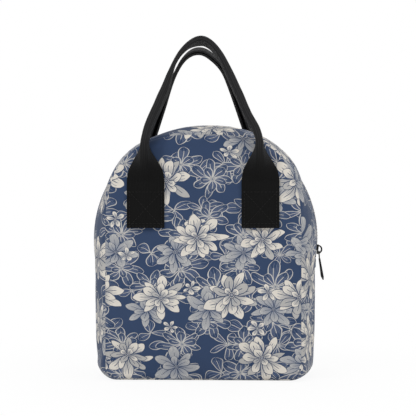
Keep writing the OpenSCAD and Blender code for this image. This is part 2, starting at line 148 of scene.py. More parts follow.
def face_outwards(obj):
    """Turns every face of a closed mesh outwards."""
    work = bmesh.new()
    work.from_mesh(obj.data)
    bmesh.ops.recalc_face_normals(work, faces=work.faces)
    work.to_mesh(obj.data)
    work.free()
    return obj


# ---- the bag's outline ---------------------------------------------------------------
BASE_STEPS, TURN_STEPS, SIDE_STEPS, ARCH_STEPS = 60, 40, 120, 200
# The outline's height only rises after this many of its points
RISES_AFTER = 70


def half_outline(inset):
    """The panel's edge and the gusset's middle, from the base's middle up the right side."""
    base = np.linspace(0, 1, BASE_STEPS)[:-1]
    turn = np.radians(np.linspace(-90, 0, TURN_STEPS))
    side = np.linspace(FOOT_R + 1, WAIST_Z, SIDE_STEPS)[:-1]
    arch = np.radians(np.linspace(0, 90, ARCH_STEPS))
    taper = np.clip((side - FOOT_R) / (ZIP_END_Z - FOOT_R), 0, 1)
    zip_r = ZIP_R - inset
    end_x = math.sqrt(zip_r ** 2 - (ZIP_END_Z - WAIST_Z) ** 2)
    low_x = FOOT_HALF_W - inset + (end_x - FOOT_HALF_W + inset) * taper
    high_x = np.sqrt(zip_r ** 2 - (np.maximum(side, ZIP_END_Z) - WAIST_Z) ** 2)
    reach = ((np.cos(arch) / (PANEL_A - inset)) ** ARCH_POWER
             + (np.sin(arch) / (PANEL_B - inset)) ** ARCH_POWER) ** (-1 / ARCH_POWER)

    def corner(half_w, radius):
        r = radius - inset
        return np.stack([half_w - radius + r * np.cos(turn), radius + r * np.sin(turn)], 1)

    panel = np.concatenate([
        np.stack([base * (PANEL_A - CORNER_R), 0 * base + inset], 1), corner(PANEL_A, CORNER_R),
        np.stack([0 * side + PANEL_A - inset, side], 1),
        np.stack([reach * np.cos(arch), WAIST_Z + reach * np.sin(arch)], 1)])
    middle = np.concatenate([
        np.stack([base * (FOOT_HALF_W - FOOT_R), 0 * base + inset], 1),
        corner(FOOT_HALF_W, FOOT_R),
        np.stack([np.where(side < ZIP_END_Z, low_x, high_x), side], 1),
        np.stack([zip_r * np.cos(arch), WAIST_Z + zip_r * np.sin(arch)], 1)])
    return panel, middle


EDGE_STEPS = np.linalg.norm(np.diff(half_outline(0)[0], axis=0), axis=1)
EDGE_LENGTH = np.concatenate([[0], np.cumsum(EDGE_STEPS)])
HALF = EDGE_LENGTH[-1]


def along(s, inset, which):
    """Points (x, z) at lengths s from the base's middle, right side first.

    which: 0 for the panel's edge, 1 for the gusset's middle.
    """
    s = np.asarray(s, float)
    s = np.where(s > HALF, s - 2 * HALF, s)
    curve = half_outline(inset)[which]
    x = np.interp(np.abs(s), EDGE_LENGTH, curve[:, 0]) * np.where(s < 0, -1, 1)
    return np.stack([x, np.interp(np.abs(s), EDGE_LENGTH, curve[:, 1])], -1)


def length_at_height(z):
    """The length along the outline at which the panel's edge reaches a height."""
    panel = half_outline(0)[0]
    rising = np.arange(len(panel)) > RISES_AFTER
    return float(np.interp(z, panel[rising, 1], EDGE_LENGTH[rising]))


# The outline's four runs are the sides of a square grid over the panel
ACROSS, LOW_ROWS, HIGH_ROWS = 48, 28, 24
TOP_CORNER_Z = 222
LOW_CORNER = PANEL_A - CORNER_R + CORNER_R * math.pi / 4
ZIP_END_S = length_at_height(ZIP_END_Z)
TOP_CORNER = length_at_height(TOP_CORNER_Z)


def stations():
    """Lengths round the whole outline, from the grid's lower left corner."""
    right = np.concatenate([np.linspace(LOW_CORNER, ZIP_END_S, LOW_ROWS + 1)[:-1],
                            np.linspace(ZIP_END_S, TOP_CORNER, HIGH_ROWS + 1)[:-1]])
    bottom = np.linspace(-LOW_CORNER, LOW_CORNER, ACROSS + 1)[:-1]
    top = np.linspace(TOP_CORNER, 2 * HALF - TOP_CORNER, ACROSS + 1)[:-1]
    left = 2 * HALF - np.concatenate([[TOP_CORNER], right[::-1]])[:-1]
    return np.concatenate([bottom, right, top, left])


RING = stations()


def panel_grid(inset):
    """A square grid of (x, z) points over the panel, from its four edge runs."""
    edge = along(RING, inset, 0)
    n, m = ACROSS, LOW_ROWS + HIGH_ROWS
    closed = np.concatenate([edge, edge[:1]])
    bottom, right = closed[:n + 1], closed[n:n + m + 1]
    top, left = closed[n + m:2 * n + m + 1][::-1], closed[2 * n + m:][::-1]
    u = np.linspace(0, 1, n + 1)[None, :, None]
    v = np.linspace(0, 1, m + 1)[:, None, None]
    return ((1 - v) * bottom[None] + v * top[None] + (1 - u) * left[:, None] + u * right[:, None]
            - (1 - u) * (1 - v) * bottom[0] - u * (1 - v) * bottom[-1]
            - (1 - u) * v * top[0] - u * v * top[-1])


# The panels' edges draw in and dip at their seams, over a narrow width
SEAM_INSET, SEAM_DEPTH, SEAM_WIDTH = 1.8, 2.0, 2.0
# Their faces swell in a low crown that fades towards the edge
CROWN, CROWN_Z, CROWN_SPREAD, CROWN_RIM = 3.6, 74.0, 58.0, 26.0


def panel_face(x, z):
    """How far the panel's face stands out of its plane, in millimetres."""
    return (CROWN * np.clip(1 - (x / PANEL_A) ** 2, 0, 1)
            * np.exp(-((z - CROWN_Z) / CROWN_SPREAD) ** 2))


def gusset_point(s, y, inset):
    """Points on the gusset for stations s and one depth y."""
    panel, middle = along(s, inset, 0), along(s, inset, 1)
    full = 1 - (max(0, abs(y) - ZIP_LANE) / (FACE_Y - OUTER_T - ZIP_LANE)) ** 2
    point = panel + (middle - panel) * full
    return np.stack([point[:, 0], np.full(len(s), float(y)), point[:, 1]], 1)


# ---- shell ---------------------------------------------------------------------------
SEAM_Y = FACE_Y - SEAM_DEPTH
STITCH_Y = 11.3
# Depths of the rows of points over one half of the gusset, closer at its edges
HALF_ROWS = ([ZIP_LANE, 9.7, STITCH_Y, 13.0, 16.0] + list(np.arange(20.5, 57, 4.5))
             + [59.5, 61.6, SEAM_Y])
ROWS = [-y for y in HALF_ROWS[::-1]] + [-4.5, 0.0, 4.5] + HALF_ROWS
# Where the gusset's face rolls in: how deep, at what depth y, over what width
ROLLS = ((SEAM_INSET, SEAM_Y, 1.6), (0.55, ZIP_LANE, 0.5), (0.35, STITCH_Y, 0.7))
# The right shoulder stands full and the waist is drawn in, between the strips' edges
SHOULDER_PUFF, WAIST_TUCK = 4.0, 2.2
PUFF_RISE, PUFF_FALL = (22, 42), (58, 95)
TUCK_RISE, TUCK_FALL = (118, 150), (185, 225)
STRIP_RISE, STRIP_FALL = (12, 24), (34, 60)


def row_inset(y):
    """Inset of the gusset's face at depth y."""
    return sum(deep * math.exp(-((abs(y) - place) / width) ** 2)
               for deep, place, width in ROLLS)


def strip_shape(s, y):
    """How the strips beside the zip differ from their rule, for stations s and one depth."""
    panel = along(s, 0, 0)
    away = panel - [0, WAIST_Z]
    angle = np.degrees(np.arctan2(away[:, 1], away[:, 0]))
    height, depth = panel[:, 1], abs(y)
    shoulder = (SHOULDER_PUFF * smoothstep(*PUFF_RISE, angle)
                * (1 - smoothstep(*PUFF_FALL, angle)))
    waist = WAIST_TUCK * smoothstep(*TUCK_RISE, height) * (1 - smoothstep(*TUCK_FALL, height))
    across = smoothstep(*STRIP_RISE, depth) * (1 - smoothstep(*STRIP_FALL, depth))
    out = away / np.linalg.norm(away, axis=1, keepdims=True)
    moves = np.stack([out[:, 0], 0 * angle, out[:, 1]], 1)
    return moves * ((shoulder - waist) * across)[:, None]


# Where the strips' cloth is cut from the print. It is drawn wider across them, because they
# are mostly seen at a low angle
STRIP_PRINT, STRIP_STRETCH = (62.0, 233.0), 1.3
# The tape holds the canvas this far from the zip's middle, and the floor holds the foot
HELD_LANE, FREE_Z, HELD_Z = 13.2, 14, 2
# The sewn tabs hold the panel a little past their edges; a seam's hold fades over this length
TAB_SIDE, TAB_BELOW, TAB_ABOVE, SEAM_HOLD = 2, 3, 5, 2.5


def gusset_rows():
    """The gusset's points, their flat UV and how firmly each is held, row by row."""
    points, uv, pin = [], [], []
    for y in ROWS:
        row = gusset_point(RING, y, row_inset(y)) + strip_shape(RING, y)
        points.append(row)
        flat_y = np.full(len(RING), (y + STRIP_PRINT[1]) / STRIP_STRETCH)
        uv.append(np.stack([RING + STRIP_PRINT[0], flat_y], 1))
        by_zip = (row[:, 2] >= ZIP_END_Z - 2) & (abs(y) <= HELD_LANE)
        held = np.maximum(np.where(by_zip, 1.0, 0.0), smoothstep(FREE_Z, HELD_Z, row[:, 2]))
        if y in (ROWS[0], ROWS[-1]):
            held[:] = 1.0
        pin.append(held)
    return points, uv, pin


def build_shell():
    """The whole outer shell as one mesh: (points, faces by part, flat UV, pin weight)."""
    ring = len(RING)
    points, uv, pin = gusset_rows()
    parts = {"front": [], "rear": [], "low": [], "lane": []}
    station_z = along(RING, 0, 0)[:, 1]
    for i, mid_y in enumerate((a + b) / 2 for a, b in zip(ROWS, ROWS[1:])):
        for j in range(ring):
            k = (j + 1) % ring
            if min(station_z[j], station_z[k]) < ZIP_END_Z - 0.01:
                part = "low"
            elif abs(mid_y) < ZIP_LANE:
                part = "lane"
            else:
                part = "front" if mid_y < 0 else "rear"
            parts[part].append((i * ring + j, i * ring + k,
                                (i + 1) * ring + k, (i + 1) * ring + j))

    flat = panel_grid(SEAM_INSET)
    rows, columns = flat.shape[:2]
    edge = along(RING, SEAM_INSET, 0)
    distance = np.min(np.linalg.norm(flat[:, :, None] - edge[None, None], axis=3), axis=2)
    face = (panel_face(flat[..., 0], flat[..., 1]) * smoothstep(0, CROWN_RIM, distance)
            - SEAM_DEPTH * np.exp(-(distance / SEAM_WIDTH) ** 2))
    rim = ([(0, c) for c in range(columns - 1)] + [(r, columns - 1) for r in range(rows - 1)]
           + [(rows - 1, c) for c in range(columns - 1, 0, -1)]
           + [(r, 0) for r in range(rows - 1, 0, -1)])
    start = ring * len(ROWS)
    for side, row in ((-1, 0), (1, len(ROWS) - 1)):
        index = np.zeros((rows, columns), int)
        inner = np.ones((rows, columns), bool)
        for j, place in enumerate(rim):
            index[place] = row * ring + j
            inner[place] = False
        index[inner] = start + np.arange(inner.sum())
        start += inner.sum()
        xz, out = flat[inner], face[inner]
        points.append(np.stack([xz[:, 0], side * (FACE_Y + out), xz[:, 1]], 1))
        uv.append(xz)
        tab = ((np.abs(np.abs(xz[:, 0]) - TAB_X) < WEB_W / 2 + TAB_SIDE)
               & (xz[:, 1] > TAB_Z - TAB_BELOW) & (xz[:, 1] < HINGE_Z + TAB_ABOVE))
        pin.append(np.where(tab, 1.0, np.exp(-(distance[inner] / SEAM_HOLD) ** 2)))
        quads = [(index[r, c], index[r, c + 1], index[r + 1, c + 1], index[r + 1, c])
                 for r in range(rows - 1) for c in range(columns - 1)]
        if side < 0:
            parts["panel_front"] = quads
        else:
            parts["panel_back"] = [quad[::-1] for quad in quads]
    return np.concatenate(points), parts, np.concatenate(uv), np.concatenate(pin)


SIM_FRAMES = 24
# No point moves further than the cap, and only this share of its move along X, Y and Z
SIM_CAP, SIM_SHARE = 3.4, np.array([0.4, 1.0, 0.35])
CLOTH = {"vertex_group_mass": "held", "quality": 6, "mass": 0.4, "tension_stiffness": 18,
         "compression_stiffness": 18, "shear_stiffness": 8, "bending_stiffness": 4.5,
         "air_damping": 4, "shrink_min": -0.022, "use_pressure": True,
         "uniform_pressure_force": 0.45}


def settle(points, parts, pin):
    """Lets the shell's cloth relax over its padding, held at its seams."""
    obj = face_outwards(make_object("settling", points, [f for p in parts.values() for f in p]))
    group = obj.vertex_groups.new(name="held")
    for i, weight in enumerate(pin):
        group.add([i], float(weight), "REPLACE")
    cloth = obj.modifiers.new("cloth", "CLOTH")
    for name, value in CLOTH.items():
        setattr(cloth.settings, name, value)
    cloth.settings.effector_weights.gravity = 0
    cloth.collision_settings.use_collision = False
    scene = bpy.context.scene
    cloth.point_cache.frame_start, cloth.point_cache.frame_end = 1, SIM_FRAMES
    for number in range(1, SIM_FRAMES + 1):
        scene.frame_set(number)
    moved = np.zeros(len(points) * 3)
    result = obj.evaluated_get(bpy.context.evaluated_depsgraph_get()).to_mesh()
    result.vertices.foreach_get("co", moved)
    step = moved.reshape(-1, 3) / MM - points
    size = np.linalg.norm(step, axis=1, keepdims=True)
    step *= SIM_CAP * np.tanh(size / SIM_CAP) / np.maximum(size, 1e-6) * SIM_SHARE
    scene.frame_set(1)
    bpy.data.objects.remove(obj)
    return points + step


def part_object(name, points, faces, uv, material, thick, rim, levels):
    """One sewn piece cut from the shell: subdivided, then given its thickness inwards."""
    used = sorted({i for f in faces for i in f})
    new = {old: i for i, old in enumerate(used)}
    obj = make_object(name, points[used], [[new[i] for i in f] for f in faces], uv[used],
                      material)
    turn_out(obj)
    smooth = obj.modifiers.new("smooth", "SUBSURF")
    smooth.levels = smooth.render_levels = levels
    smooth.boundary_smooth = "PRESERVE_CORNERS"
    smooth.uv_smooth = "PRESERVE_BOUNDARIES"
    bake(obj)
    pad = obj.modifiers.new("pad", "SOLIDIFY")
    pad.thickness, pad.offset, pad.use_even_offset = thick * MM, -1, False
    group = obj.vertex_groups.new(name="thick")
    for vertex in obj.data.vertices:
        group.add([vertex.index], float(rim(vertex.co / MM)), "REPLACE")
    pad.vertex_group = "thick"
    return bake(obj)


# ---- nodes ---------------------------------------------------------------------------
MATH, COMBINE, MIX = "ShaderNodeMath", "ShaderNodeCombineXYZ", "ShaderNodeMix"
SPLIT, NOISE = "ShaderNodeSeparateXYZ", "ShaderNodeTexNoise"
FULL_TURN = 2 * math.pi


def linear(code):
    """Linear RGBA of a hex colour."""
    parts = [int(code[i:i + 2], 16) / 255 for i in (1, 3, 5)]
    return tuple(c / 12.92 if c <= 0.04045 else ((c + 0.055) / 1.055) ** 2.4
                 for c in parts) + (1.0,)


def add_node(tree, kind, inputs=(), **settings):
    """Adds a node with its settings and links.

    Inputs go to the sockets in order, or by name or number from a dict. Each is a value, a
    socket, a node (its first output) or a sum such as ("ADD", a, b), worked out by Math nodes.
    """
    new = tree.nodes.new(kind)
    for key, value in settings.items():
        setattr(new, key, value)
    for key, value in inputs.items() if isinstance(inputs, dict) else enumerate(inputs):
        if isinstance(value, tuple) and isinstance(value[0], str):
            value = add_node(tree, MATH, value[1:], operation=value[0])
        if isinstance(value, bpy.types.Node):
            value = value.outputs[0]
        if isinstance(value, bpy.types.NodeSocket):
            tree.links.new(value, new.inputs[key])
        else:
            new.inputs[key].default_value = value
    return new


def start_material(name, **finish):
    """A material's node tree and shader; finish sets the shader's own sockets."""
    material = bpy.data.materials.new(name)
    material.use_nodes = True
    shader = material.node_tree.nodes["Principled BSDF"]
    for key, value in finish.items():
        shader.inputs[key.replace("_", " ")].default_value = value
    return material, material.node_tree, shader


def dress(tree, shader, colour, height, strength, depth):
    """Gives a shader its colour and its relief, which is depth metres high."""
    relief = add_node(tree, "ShaderNodeBump", {"Strength": strength, "Distance": depth,
                                               "Height": height})
    tree.links.new(colour, shader.inputs["Base Color"])
    tree.links.new(relief.outputs[0], shader.inputs["Normal"])


def cloth_uv(tree):
    """The cloth's own flat coordinates in millimetres."""
    flat = add_node(tree, SPLIT, [add_node(tree, "ShaderNodeUVMap", uv_map="cloth")])
    return [add_node(tree, MATH, (flat.outputs[k], 1000.0), operation="MULTIPLY")
            for k in (0, 1)]


def number_group(name, inputs, outputs):
    """An empty node group of plain numbers: its tree, and the sockets of its inputs."""
    tree = bpy.data.node_groups.new(name, "ShaderNodeTree")
    for key, value in inputs.items():
        tree.interface.new_socket(
            key, in_out="INPUT", socket_type="NodeSocketFloat").default_value = value
    for key in outputs:
        tree.interface.new_socket(key, in_out="OUTPUT", socket_type="NodeSocketFloat")
    return tree, [s for s in tree.nodes.new("NodeGroupInput").outputs if s.name]


# ---- printed canvas ------------------------------------------------------------------
NAVY, CREAM, GREY, PENCIL = "#314362", "#ddd7cd", "#b2b2b3", "#c2c0bc"
# Share of a petal's sector that it may lose, and of its reach
THINNER, SHORTER = 0.14, 0.24
# Hatching: lines cover this share of their spacing, and their ends wander by this much
HATCH_SHARE, HATCH_RAGGED = 0.2, 0.1
RIB_SHARE, RIB_END = 0.38, 0.72


def petal_group():
    """Node group: one ring of pointed petals about the origin, lengths in millimetres.

    Inside is 1 in a petal, Line is its outline and midrib, and Hatch its fine lines, which run
    out from its base. Out is 0 at its base and 1 at its tip, and Own is a chance value of it.
    """
    tree, given = number_group(
        "petal ring", {"Along": 0, "Across": 0, "Petals": 8, "Reach": 25, "Width": 0.9, "Turn": 0,
                       "Ink": 0.6, "Veins": 3, "Shade": 0.6, "Seed": 0},
        ("Inside", "Line", "Hatch", "Out", "Own"))
    x, y, count, reach, wide, turned, ink, veins, shade, seed = given
    radius = add_node(tree, MATH, [("ADD", ("MULTIPLY", x, x), ("MULTIPLY", y, y))],
                      operation="SQRT")
    round_sum = ("MULTIPLY", ("ADD", ("ARCTAN2", y, x), turned), count)
    spin = add_node(tree, MATH, (("DIVIDE", round_sum, FULL_TURN), 64.0), operation="ADD")
    turn = add_node(tree, MATH, (("FRACT", spin), 0.5), operation="SUBTRACT")
    number = ("FLOOR", ("MULTIPLY", ("FRACT", ("DIVIDE", ("FLOOR", spin), count)), count))
    place = add_node(tree, COMBINE, (number, ("MULTIPLY", seed, 97.0)))
    own = add_node(tree, "ShaderNodeTexWhiteNoise", {"Vector": place}, noise_dimensions="3D")
    a, b, _ = add_node(tree, "ShaderNodeSeparateColor", [own.outputs["Color"]]).outputs
    own_reach = ("MULTIPLY", reach, ("SUBTRACT", 1.0, ("MULTIPLY", a, SHORTER)))
    out = add_node(tree, MATH, (radius, own_reach), operation="DIVIDE")
    # Half-width of the petal here, as a share of its sector: full at the base, pointed at the tip
    point = ("POWER", ("MAXIMUM", ("SUBTRACT", 1.0, ("POWER", out, 2.9)), 0.0), 0.7)
    width = add_node(tree, MATH, (("MULTIPLY", ("MULTIPLY", point, wide), 0.5),
                                  ("SUBTRACT", 1.0, ("MULTIPLY", b, THINNER))),
                     operation="MULTIPLY")
    sector = add_node(tree, MATH, (("MULTIPLY", radius, FULL_TURN), count), operation="DIVIDE")
    aside = add_node(tree, MATH, [turn], operation="ABSOLUTE")
    gap = add_node(tree, MATH, (("SUBTRACT", width, aside), sector), operation="MULTIPLY")
    inside = add_node(tree, MATH, (gap, 0.0), operation="GREATER_THAN")
    rib = ("MULTIPLY", ("LESS_THAN", ("MULTIPLY", aside, sector), ("MULTIPLY", ink, RIB_SHARE)),
           ("LESS_THAN", out, RIB_END))
    line = ("MULTIPLY", inside, ("MAXIMUM", ("LESS_THAN", gap, ink),
                                 ("MULTIPLY", rib, ("GREATER_THAN", veins, 0.5))))
    fan = ("MULTIPLY", ("DIVIDE", turn, ("MAXIMUM", width, 0.02)), veins)
    stroke = ("ABSOLUTE", ("SUBTRACT", ("FRACT", ("ADD", fan, 32.5)), 0.5))
    ends = ("ADD", ("MULTIPLY", ("COSINE", ("MULTIPLY", turn, 41.0)), HATCH_RAGGED), shade)
    hatch = ("MULTIPLY", ("MULTIPLY", inside, ("LESS_THAN", stroke, HATCH_SHARE)),
             ("LESS_THAN", out, ends))
    add_node(tree, "NodeGroupOutput", (inside, line, hatch, out, b))
    return tree


def lattice_group():
    """Node group: splits the cloth into staggered cells.

    X and Y are measured from the cell's own origin, along its own turn and foreshortening.
    """
    tree, given = number_group(
        "staggered cells", {"U": 0, "V": 0, "Cell": 60, "Shift U": 0, "Shift V": 0,
                            "Jitter": 0.1, "Seed": 0, "Squash": 0.3},
        ("X", "Y", "Chance A", "Chance B"))
    u, v, cell, shift_u, shift_v, jitter, seed, squash = given
    row_height, least_squash = 0.88, 1.06
    down = add_node(tree, MATH, (("DIVIDE", ("ADD", v, shift_v), cell), row_height),
                    operation="DIVIDE")
    row = add_node(tree, MATH, [down], operation="FLOOR")
    stagger = ("FRACT", ("ADD", ("MULTIPLY", row, 0.5), 100.0))
    over = add_node(tree, MATH, (("DIVIDE", ("ADD", u, shift_u), cell), stagger),
                    operation="ADD")
    column = add_node(tree, MATH, [over], operation="FLOOR")
    chances = []
    for extra in (0.0, 0.5):
        place = add_node(tree, COMBINE, (column, row, ("ADD", seed, extra)))
        chance = add_node(tree, "ShaderNodeTexWhiteNoise", {"Vector": place},
                          noise_dimensions="3D")
        chances += add_node(tree, "ShaderNodeSeparateColor", [chance.outputs["Color"]]).outputs
    a, b, c, d, e, f = chances

    def from_origin(place, whole, chance):
        moved = ("MULTIPLY", ("SUBTRACT", chance, 0.5), jitter)
        return "MULTIPLY", ("ADD", ("SUBTRACT", ("SUBTRACT", place, whole), 0.5), moved), cell

    x = add_node(tree, MATH, from_origin(over, column, a)[1:], operation="MULTIPLY")
    tall = ("MULTIPLY", from_origin(down, row, b), row_height)
    y = add_node(tree, MATH, (tall, ("ADD", ("MULTIPLY", d, squash), least_squash)),
                 operation="MULTIPLY")
    turn = add_node(tree, MATH, (c, FULL_TURN), operation="MULTIPLY")
    cosine = add_node(tree, MATH, [turn], operation="COSINE")
    sine = add_node(tree, MATH, [turn], operation="SINE")
    add_node(tree, "NodeGroupOutput",
             (("SUBTRACT", ("MULTIPLY", x, cosine), ("MULTIPLY", y, sine)),
              ("ADD", ("MULTIPLY", x, sine), ("MULTIPLY", y, cosine)), e, f))
    return tree


# The print's layers from the ground up, sizes in millimetres: cell, its shift, how far its bloom
# strays, seed, share of cells filled, inks (petal's base and tip, hatching, outline), outline's
# width, radius of its eye, chance under which a petal pales, and its tiers of petals, each
# (petals, reach, width, turn, veins, how far the hatching runs)
LEAF = ("#35476a", NAVY, "#5d6982", PENCIL)
DRAWN = ("#3b4c70", NAVY, "#667187", PENCIL)
SHADED = ("#979ba4", "#bcbbb9", "#868b96", NAVY)
BLOSSOM = (GREY, CREAM, GREY, NAVY)
PALE = ("#b4b2af", CREAM, "#9a9ca2", NAVY)
ALWAYS = 2.0
BLOOMS = (
    (45.0, (5.0, 9.0), 0.08, 3.0, 0.9, LEAF, 0.8, None, ALWAYS,
     ((3, 20.5, 0.7, 0.0, 3.0, 0.85),)),
    (51.0, (28.0, 31.0), 0.08, 7.0, 0.9, LEAF, 0.8, None, ALWAYS,
     ((5, 24.0, 0.8, 0.0, 4.0, 0.85),)),
    (59.0, (51.0, 17.0), 0.06, 13.0, 0.9, DRAWN, 0.95, 2.2, ALWAYS,
     ((6, 27.5, 0.98, 0.0, 5.0, 0.8), (4, 15.0, 1.0, 0.5, 3.0, 0.85))),
    (62.0, (20.0, 44.0), 0.06, 11.0, 0.95, DRAWN, 0.95, 2.6, ALWAYS,
     ((7, 29.0, 0.98, 0.0, 5.0, 0.8), (5, 19.0, 1.0, 0.4, 4.0, 0.85))),
    (64.0, (58.0, 12.0), 0.06, 17.0, 0.56, SHADED, 0.7, 2.4, ALWAYS,
     ((7, 28.0, 0.98, 0.0, 5.0, 0.9), (5, 18.0, 1.0, 0.3, 4.0, 0.9))),
    (41.0, (33.0, 2.0), 0.3, 23.0, 0.4, BLOSSOM, 0.55, 1.7, ALWAYS,
     ((5, 12.5, 0.96, 0.0, 3.0, 0.6),)),
    (67.0, (40.0, 4.0), 0.06, 43.0, 0.8, PALE, 0.8, 3.2, 0.72,
     ((8, 30.5, 0.98, 0.0, 4.0, 0.66), (6, 22.0, 1.0, 0.35, 4.0, 0.64),
      (4, 12.5, 1.0, 0.1, 3.0, 0.7))))
SQUASH = 0.35
# A bloom's size wanders up from the least by the spread
LEAST_SIZE, SIZE_SPREAD = 0.84, 0.2
# Eleven dots round the eye, between these shares of its radius, and its heart
EYE_DOTS, DOT_SHARE, DOTS_FROM, DOTS_TO, HEART = 11, 0.26, 0.62, 0.88, 0.4


def print_blooms(tree, u, v):
    """The print's colour: cream and grey blooms over line-drawn ones on navy."""
    petals, cells = petal_group(), lattice_group()
    colour = linear(NAVY)
    for cell, shift, jitter, seed, share, inks, ink, eye, pales, tiers in BLOOMS:
        low, high, hatching, outline = [linear(code) for code in inks]
        x, y, chance, filled = add_node(
            tree, "ShaderNodeGroup",
            {"U": u, "V": v, "Cell": cell, "Shift U": shift[0], "Shift V": shift[1],
             "Jitter": jitter, "Seed": seed, "Squash": SQUASH}, node_tree=cells).outputs
        shown = add_node(tree, MATH, (filled, share), operation="LESS_THAN")
        size = add_node(tree, MATH, (("MULTIPLY", chance, SIZE_SPREAD), LEAST_SIZE),
                        operation="ADD")
        x, y = [add_node(tree, MATH, (c, size), operation="DIVIDE") for c in (x, y)]
        coats = []
        for count, reach, width, turn, veins, shade in tiers:
            inside, line, hatch, out, own = add_node(
                tree, "ShaderNodeGroup",
                {"Along": x, "Across": y, "Petals": count, "Reach": reach, "Width": width,
                 "Turn": turn, "Ink": ink, "Veins": veins, "Shade": shade,
                 "Seed": ("ADD", chance, count * 0.013)}, node_tree=petals).outputs
            tip = add_node(tree, "ShaderNodeMapRange",
                           {"Value": out, "From Min": 0.25, "From Max": 0.8},
                           interpolation_type="SMOOTHSTEP")
            paler = ("MULTIPLY", tip, ("LESS_THAN", own, pales))
            fill = add_node(tree, MIX, {0: paler, 6: low, 7: high}, data_type="RGBA")
            coats += [(inside, fill.outputs[2]), (hatch, hatching), (line, outline)]
        if eye:
            radius = add_node(tree, MATH, [("ADD", ("MULTIPLY", x, x), ("MULTIPLY", y, y))],
                              operation="SQRT")
            around = ("MULTIPLY", ("ARCTAN2", y, x), EYE_DOTS / FULL_TURN)
            apart = ("ABSOLUTE", ("SUBTRACT", ("FRACT", ("ADD", around, 32.0)), 0.5))
            band = ("MULTIPLY", ("GREATER_THAN", radius, eye * DOTS_FROM),
                    ("LESS_THAN", radius, eye * DOTS_TO))
            coats += [(("LESS_THAN", radius, eye), outline),
                      (("MULTIPLY", ("LESS_THAN", apart, DOT_SHARE), band), high),
                      (("LESS_THAN", radius, eye * HEART), hatching)]
        for where, paint in coats:
            colour = add_node(tree, MIX, {0: ("MULTIPLY", where, shown), 6: colour, 7: paint},
                              data_type="RGBA").outputs[2]
    return colour


# Canvas of this weight has 16 threads to the centimetre; they stand 0.12 mm proud
THREAD_PITCH, THREAD_DEPTH = 0.62, 0.00012
# The drawing wanders by up to 5 mm over some 22 mm, as a hand would draw it
WANDER, WANDER_SCALE = 10.0, 0.045


def print_material():
    """Plain-woven polyester canvas, printed.

    It looks matt, with the faint check of its threads and a little unevenness in its dye.
    """
    material, tree, shader = start_material(
        "printed polyester canvas", Roughness=0.86, Specular_IOR_Level=0.25,
        Sheen_Weight=0.12, Sheen_Roughness=0.5)
    u, v = cloth_uv(tree)
    wandered = []
    for start, parts in ((u, (u, v)), (v, (v, u, 7.0))):
        hand = add_node(tree, NOISE, {"Vector": add_node(tree, COMBINE, parts),
                                      "Scale": WANDER_SCALE, "Detail": 1.0, "Roughness": 0.5})
        by = ("MULTIPLY", ("SUBTRACT", hand, 0.5), WANDER)
        wandered.append(add_node(tree, MATH, (start, by), operation="ADD"))
    colour = print_blooms(tree, *wandered)
    turn = math.pi / THREAD_PITCH
    over = ("MULTIPLY", ("ABSOLUTE", ("SINE", ("MULTIPLY", u, turn))),
            ("ABSOLUTE", ("SINE", ("MULTIPLY", v, turn))))
    check = ("MULTIPLY", ("ADD", ("FLOOR", ("DIVIDE", u, THREAD_PITCH)),
                          ("FLOOR", ("DIVIDE", v, THREAD_PITCH))), 0.5)
    parity = add_node(tree, MATH, (("FRACT", check), 2.0), operation="MULTIPLY")
    # Broad unevenness over some 30 mm, and slubs three times as long as they are wide
    uneven = add_node(tree, NOISE, {"Vector": add_node(tree, COMBINE, (u, v)), "Scale": 0.03,
                                    "Detail": 3.0, "Roughness": 0.5})
    along_thread = add_node(tree, COMBINE, (("MULTIPLY", u, 0.35), ("MULTIPLY", v, 3.0)))
    slubs = add_node(tree, NOISE, {"Vector": along_thread, "Scale": 1.0, "Detail": 1.0,
                                   "Roughness": 0.5})
    shade = ("ADD", ("ADD", ("MULTIPLY", uneven, 0.1), ("MULTIPLY", slubs, 0.08)), 0.88)
    tint = add_node(tree, MATH, (shade, ("MULTIPLY", parity, 0.035)), operation="ADD")
    dyed = add_node(tree, MIX, {0: 1.0, 6: colour, 7: add_node(tree, COMBINE, [tint] * 3)},
                    data_type="RGBA", blend_type="MULTIPLY")
    dress(tree, shader, dyed.outputs[2], ("ADD", over, ("MULTIPLY", parity, 0.3)), 0.6,
          THREAD_DEPTH)
    return material


# The webbing's ribs run along it, 1.55 mm apart, and its picks lie across, 0.9 mm apart
RIB_PITCH, PICK_PITCH = 1.55, 0.9
# Painted light: the grips are painted paler between these heights, in metres, where light from
# above falls on the legs more than on the flat tabs
GRIP_LIGHT_FROM, GRIP_LIGHT_TO = 0.205, 0.25


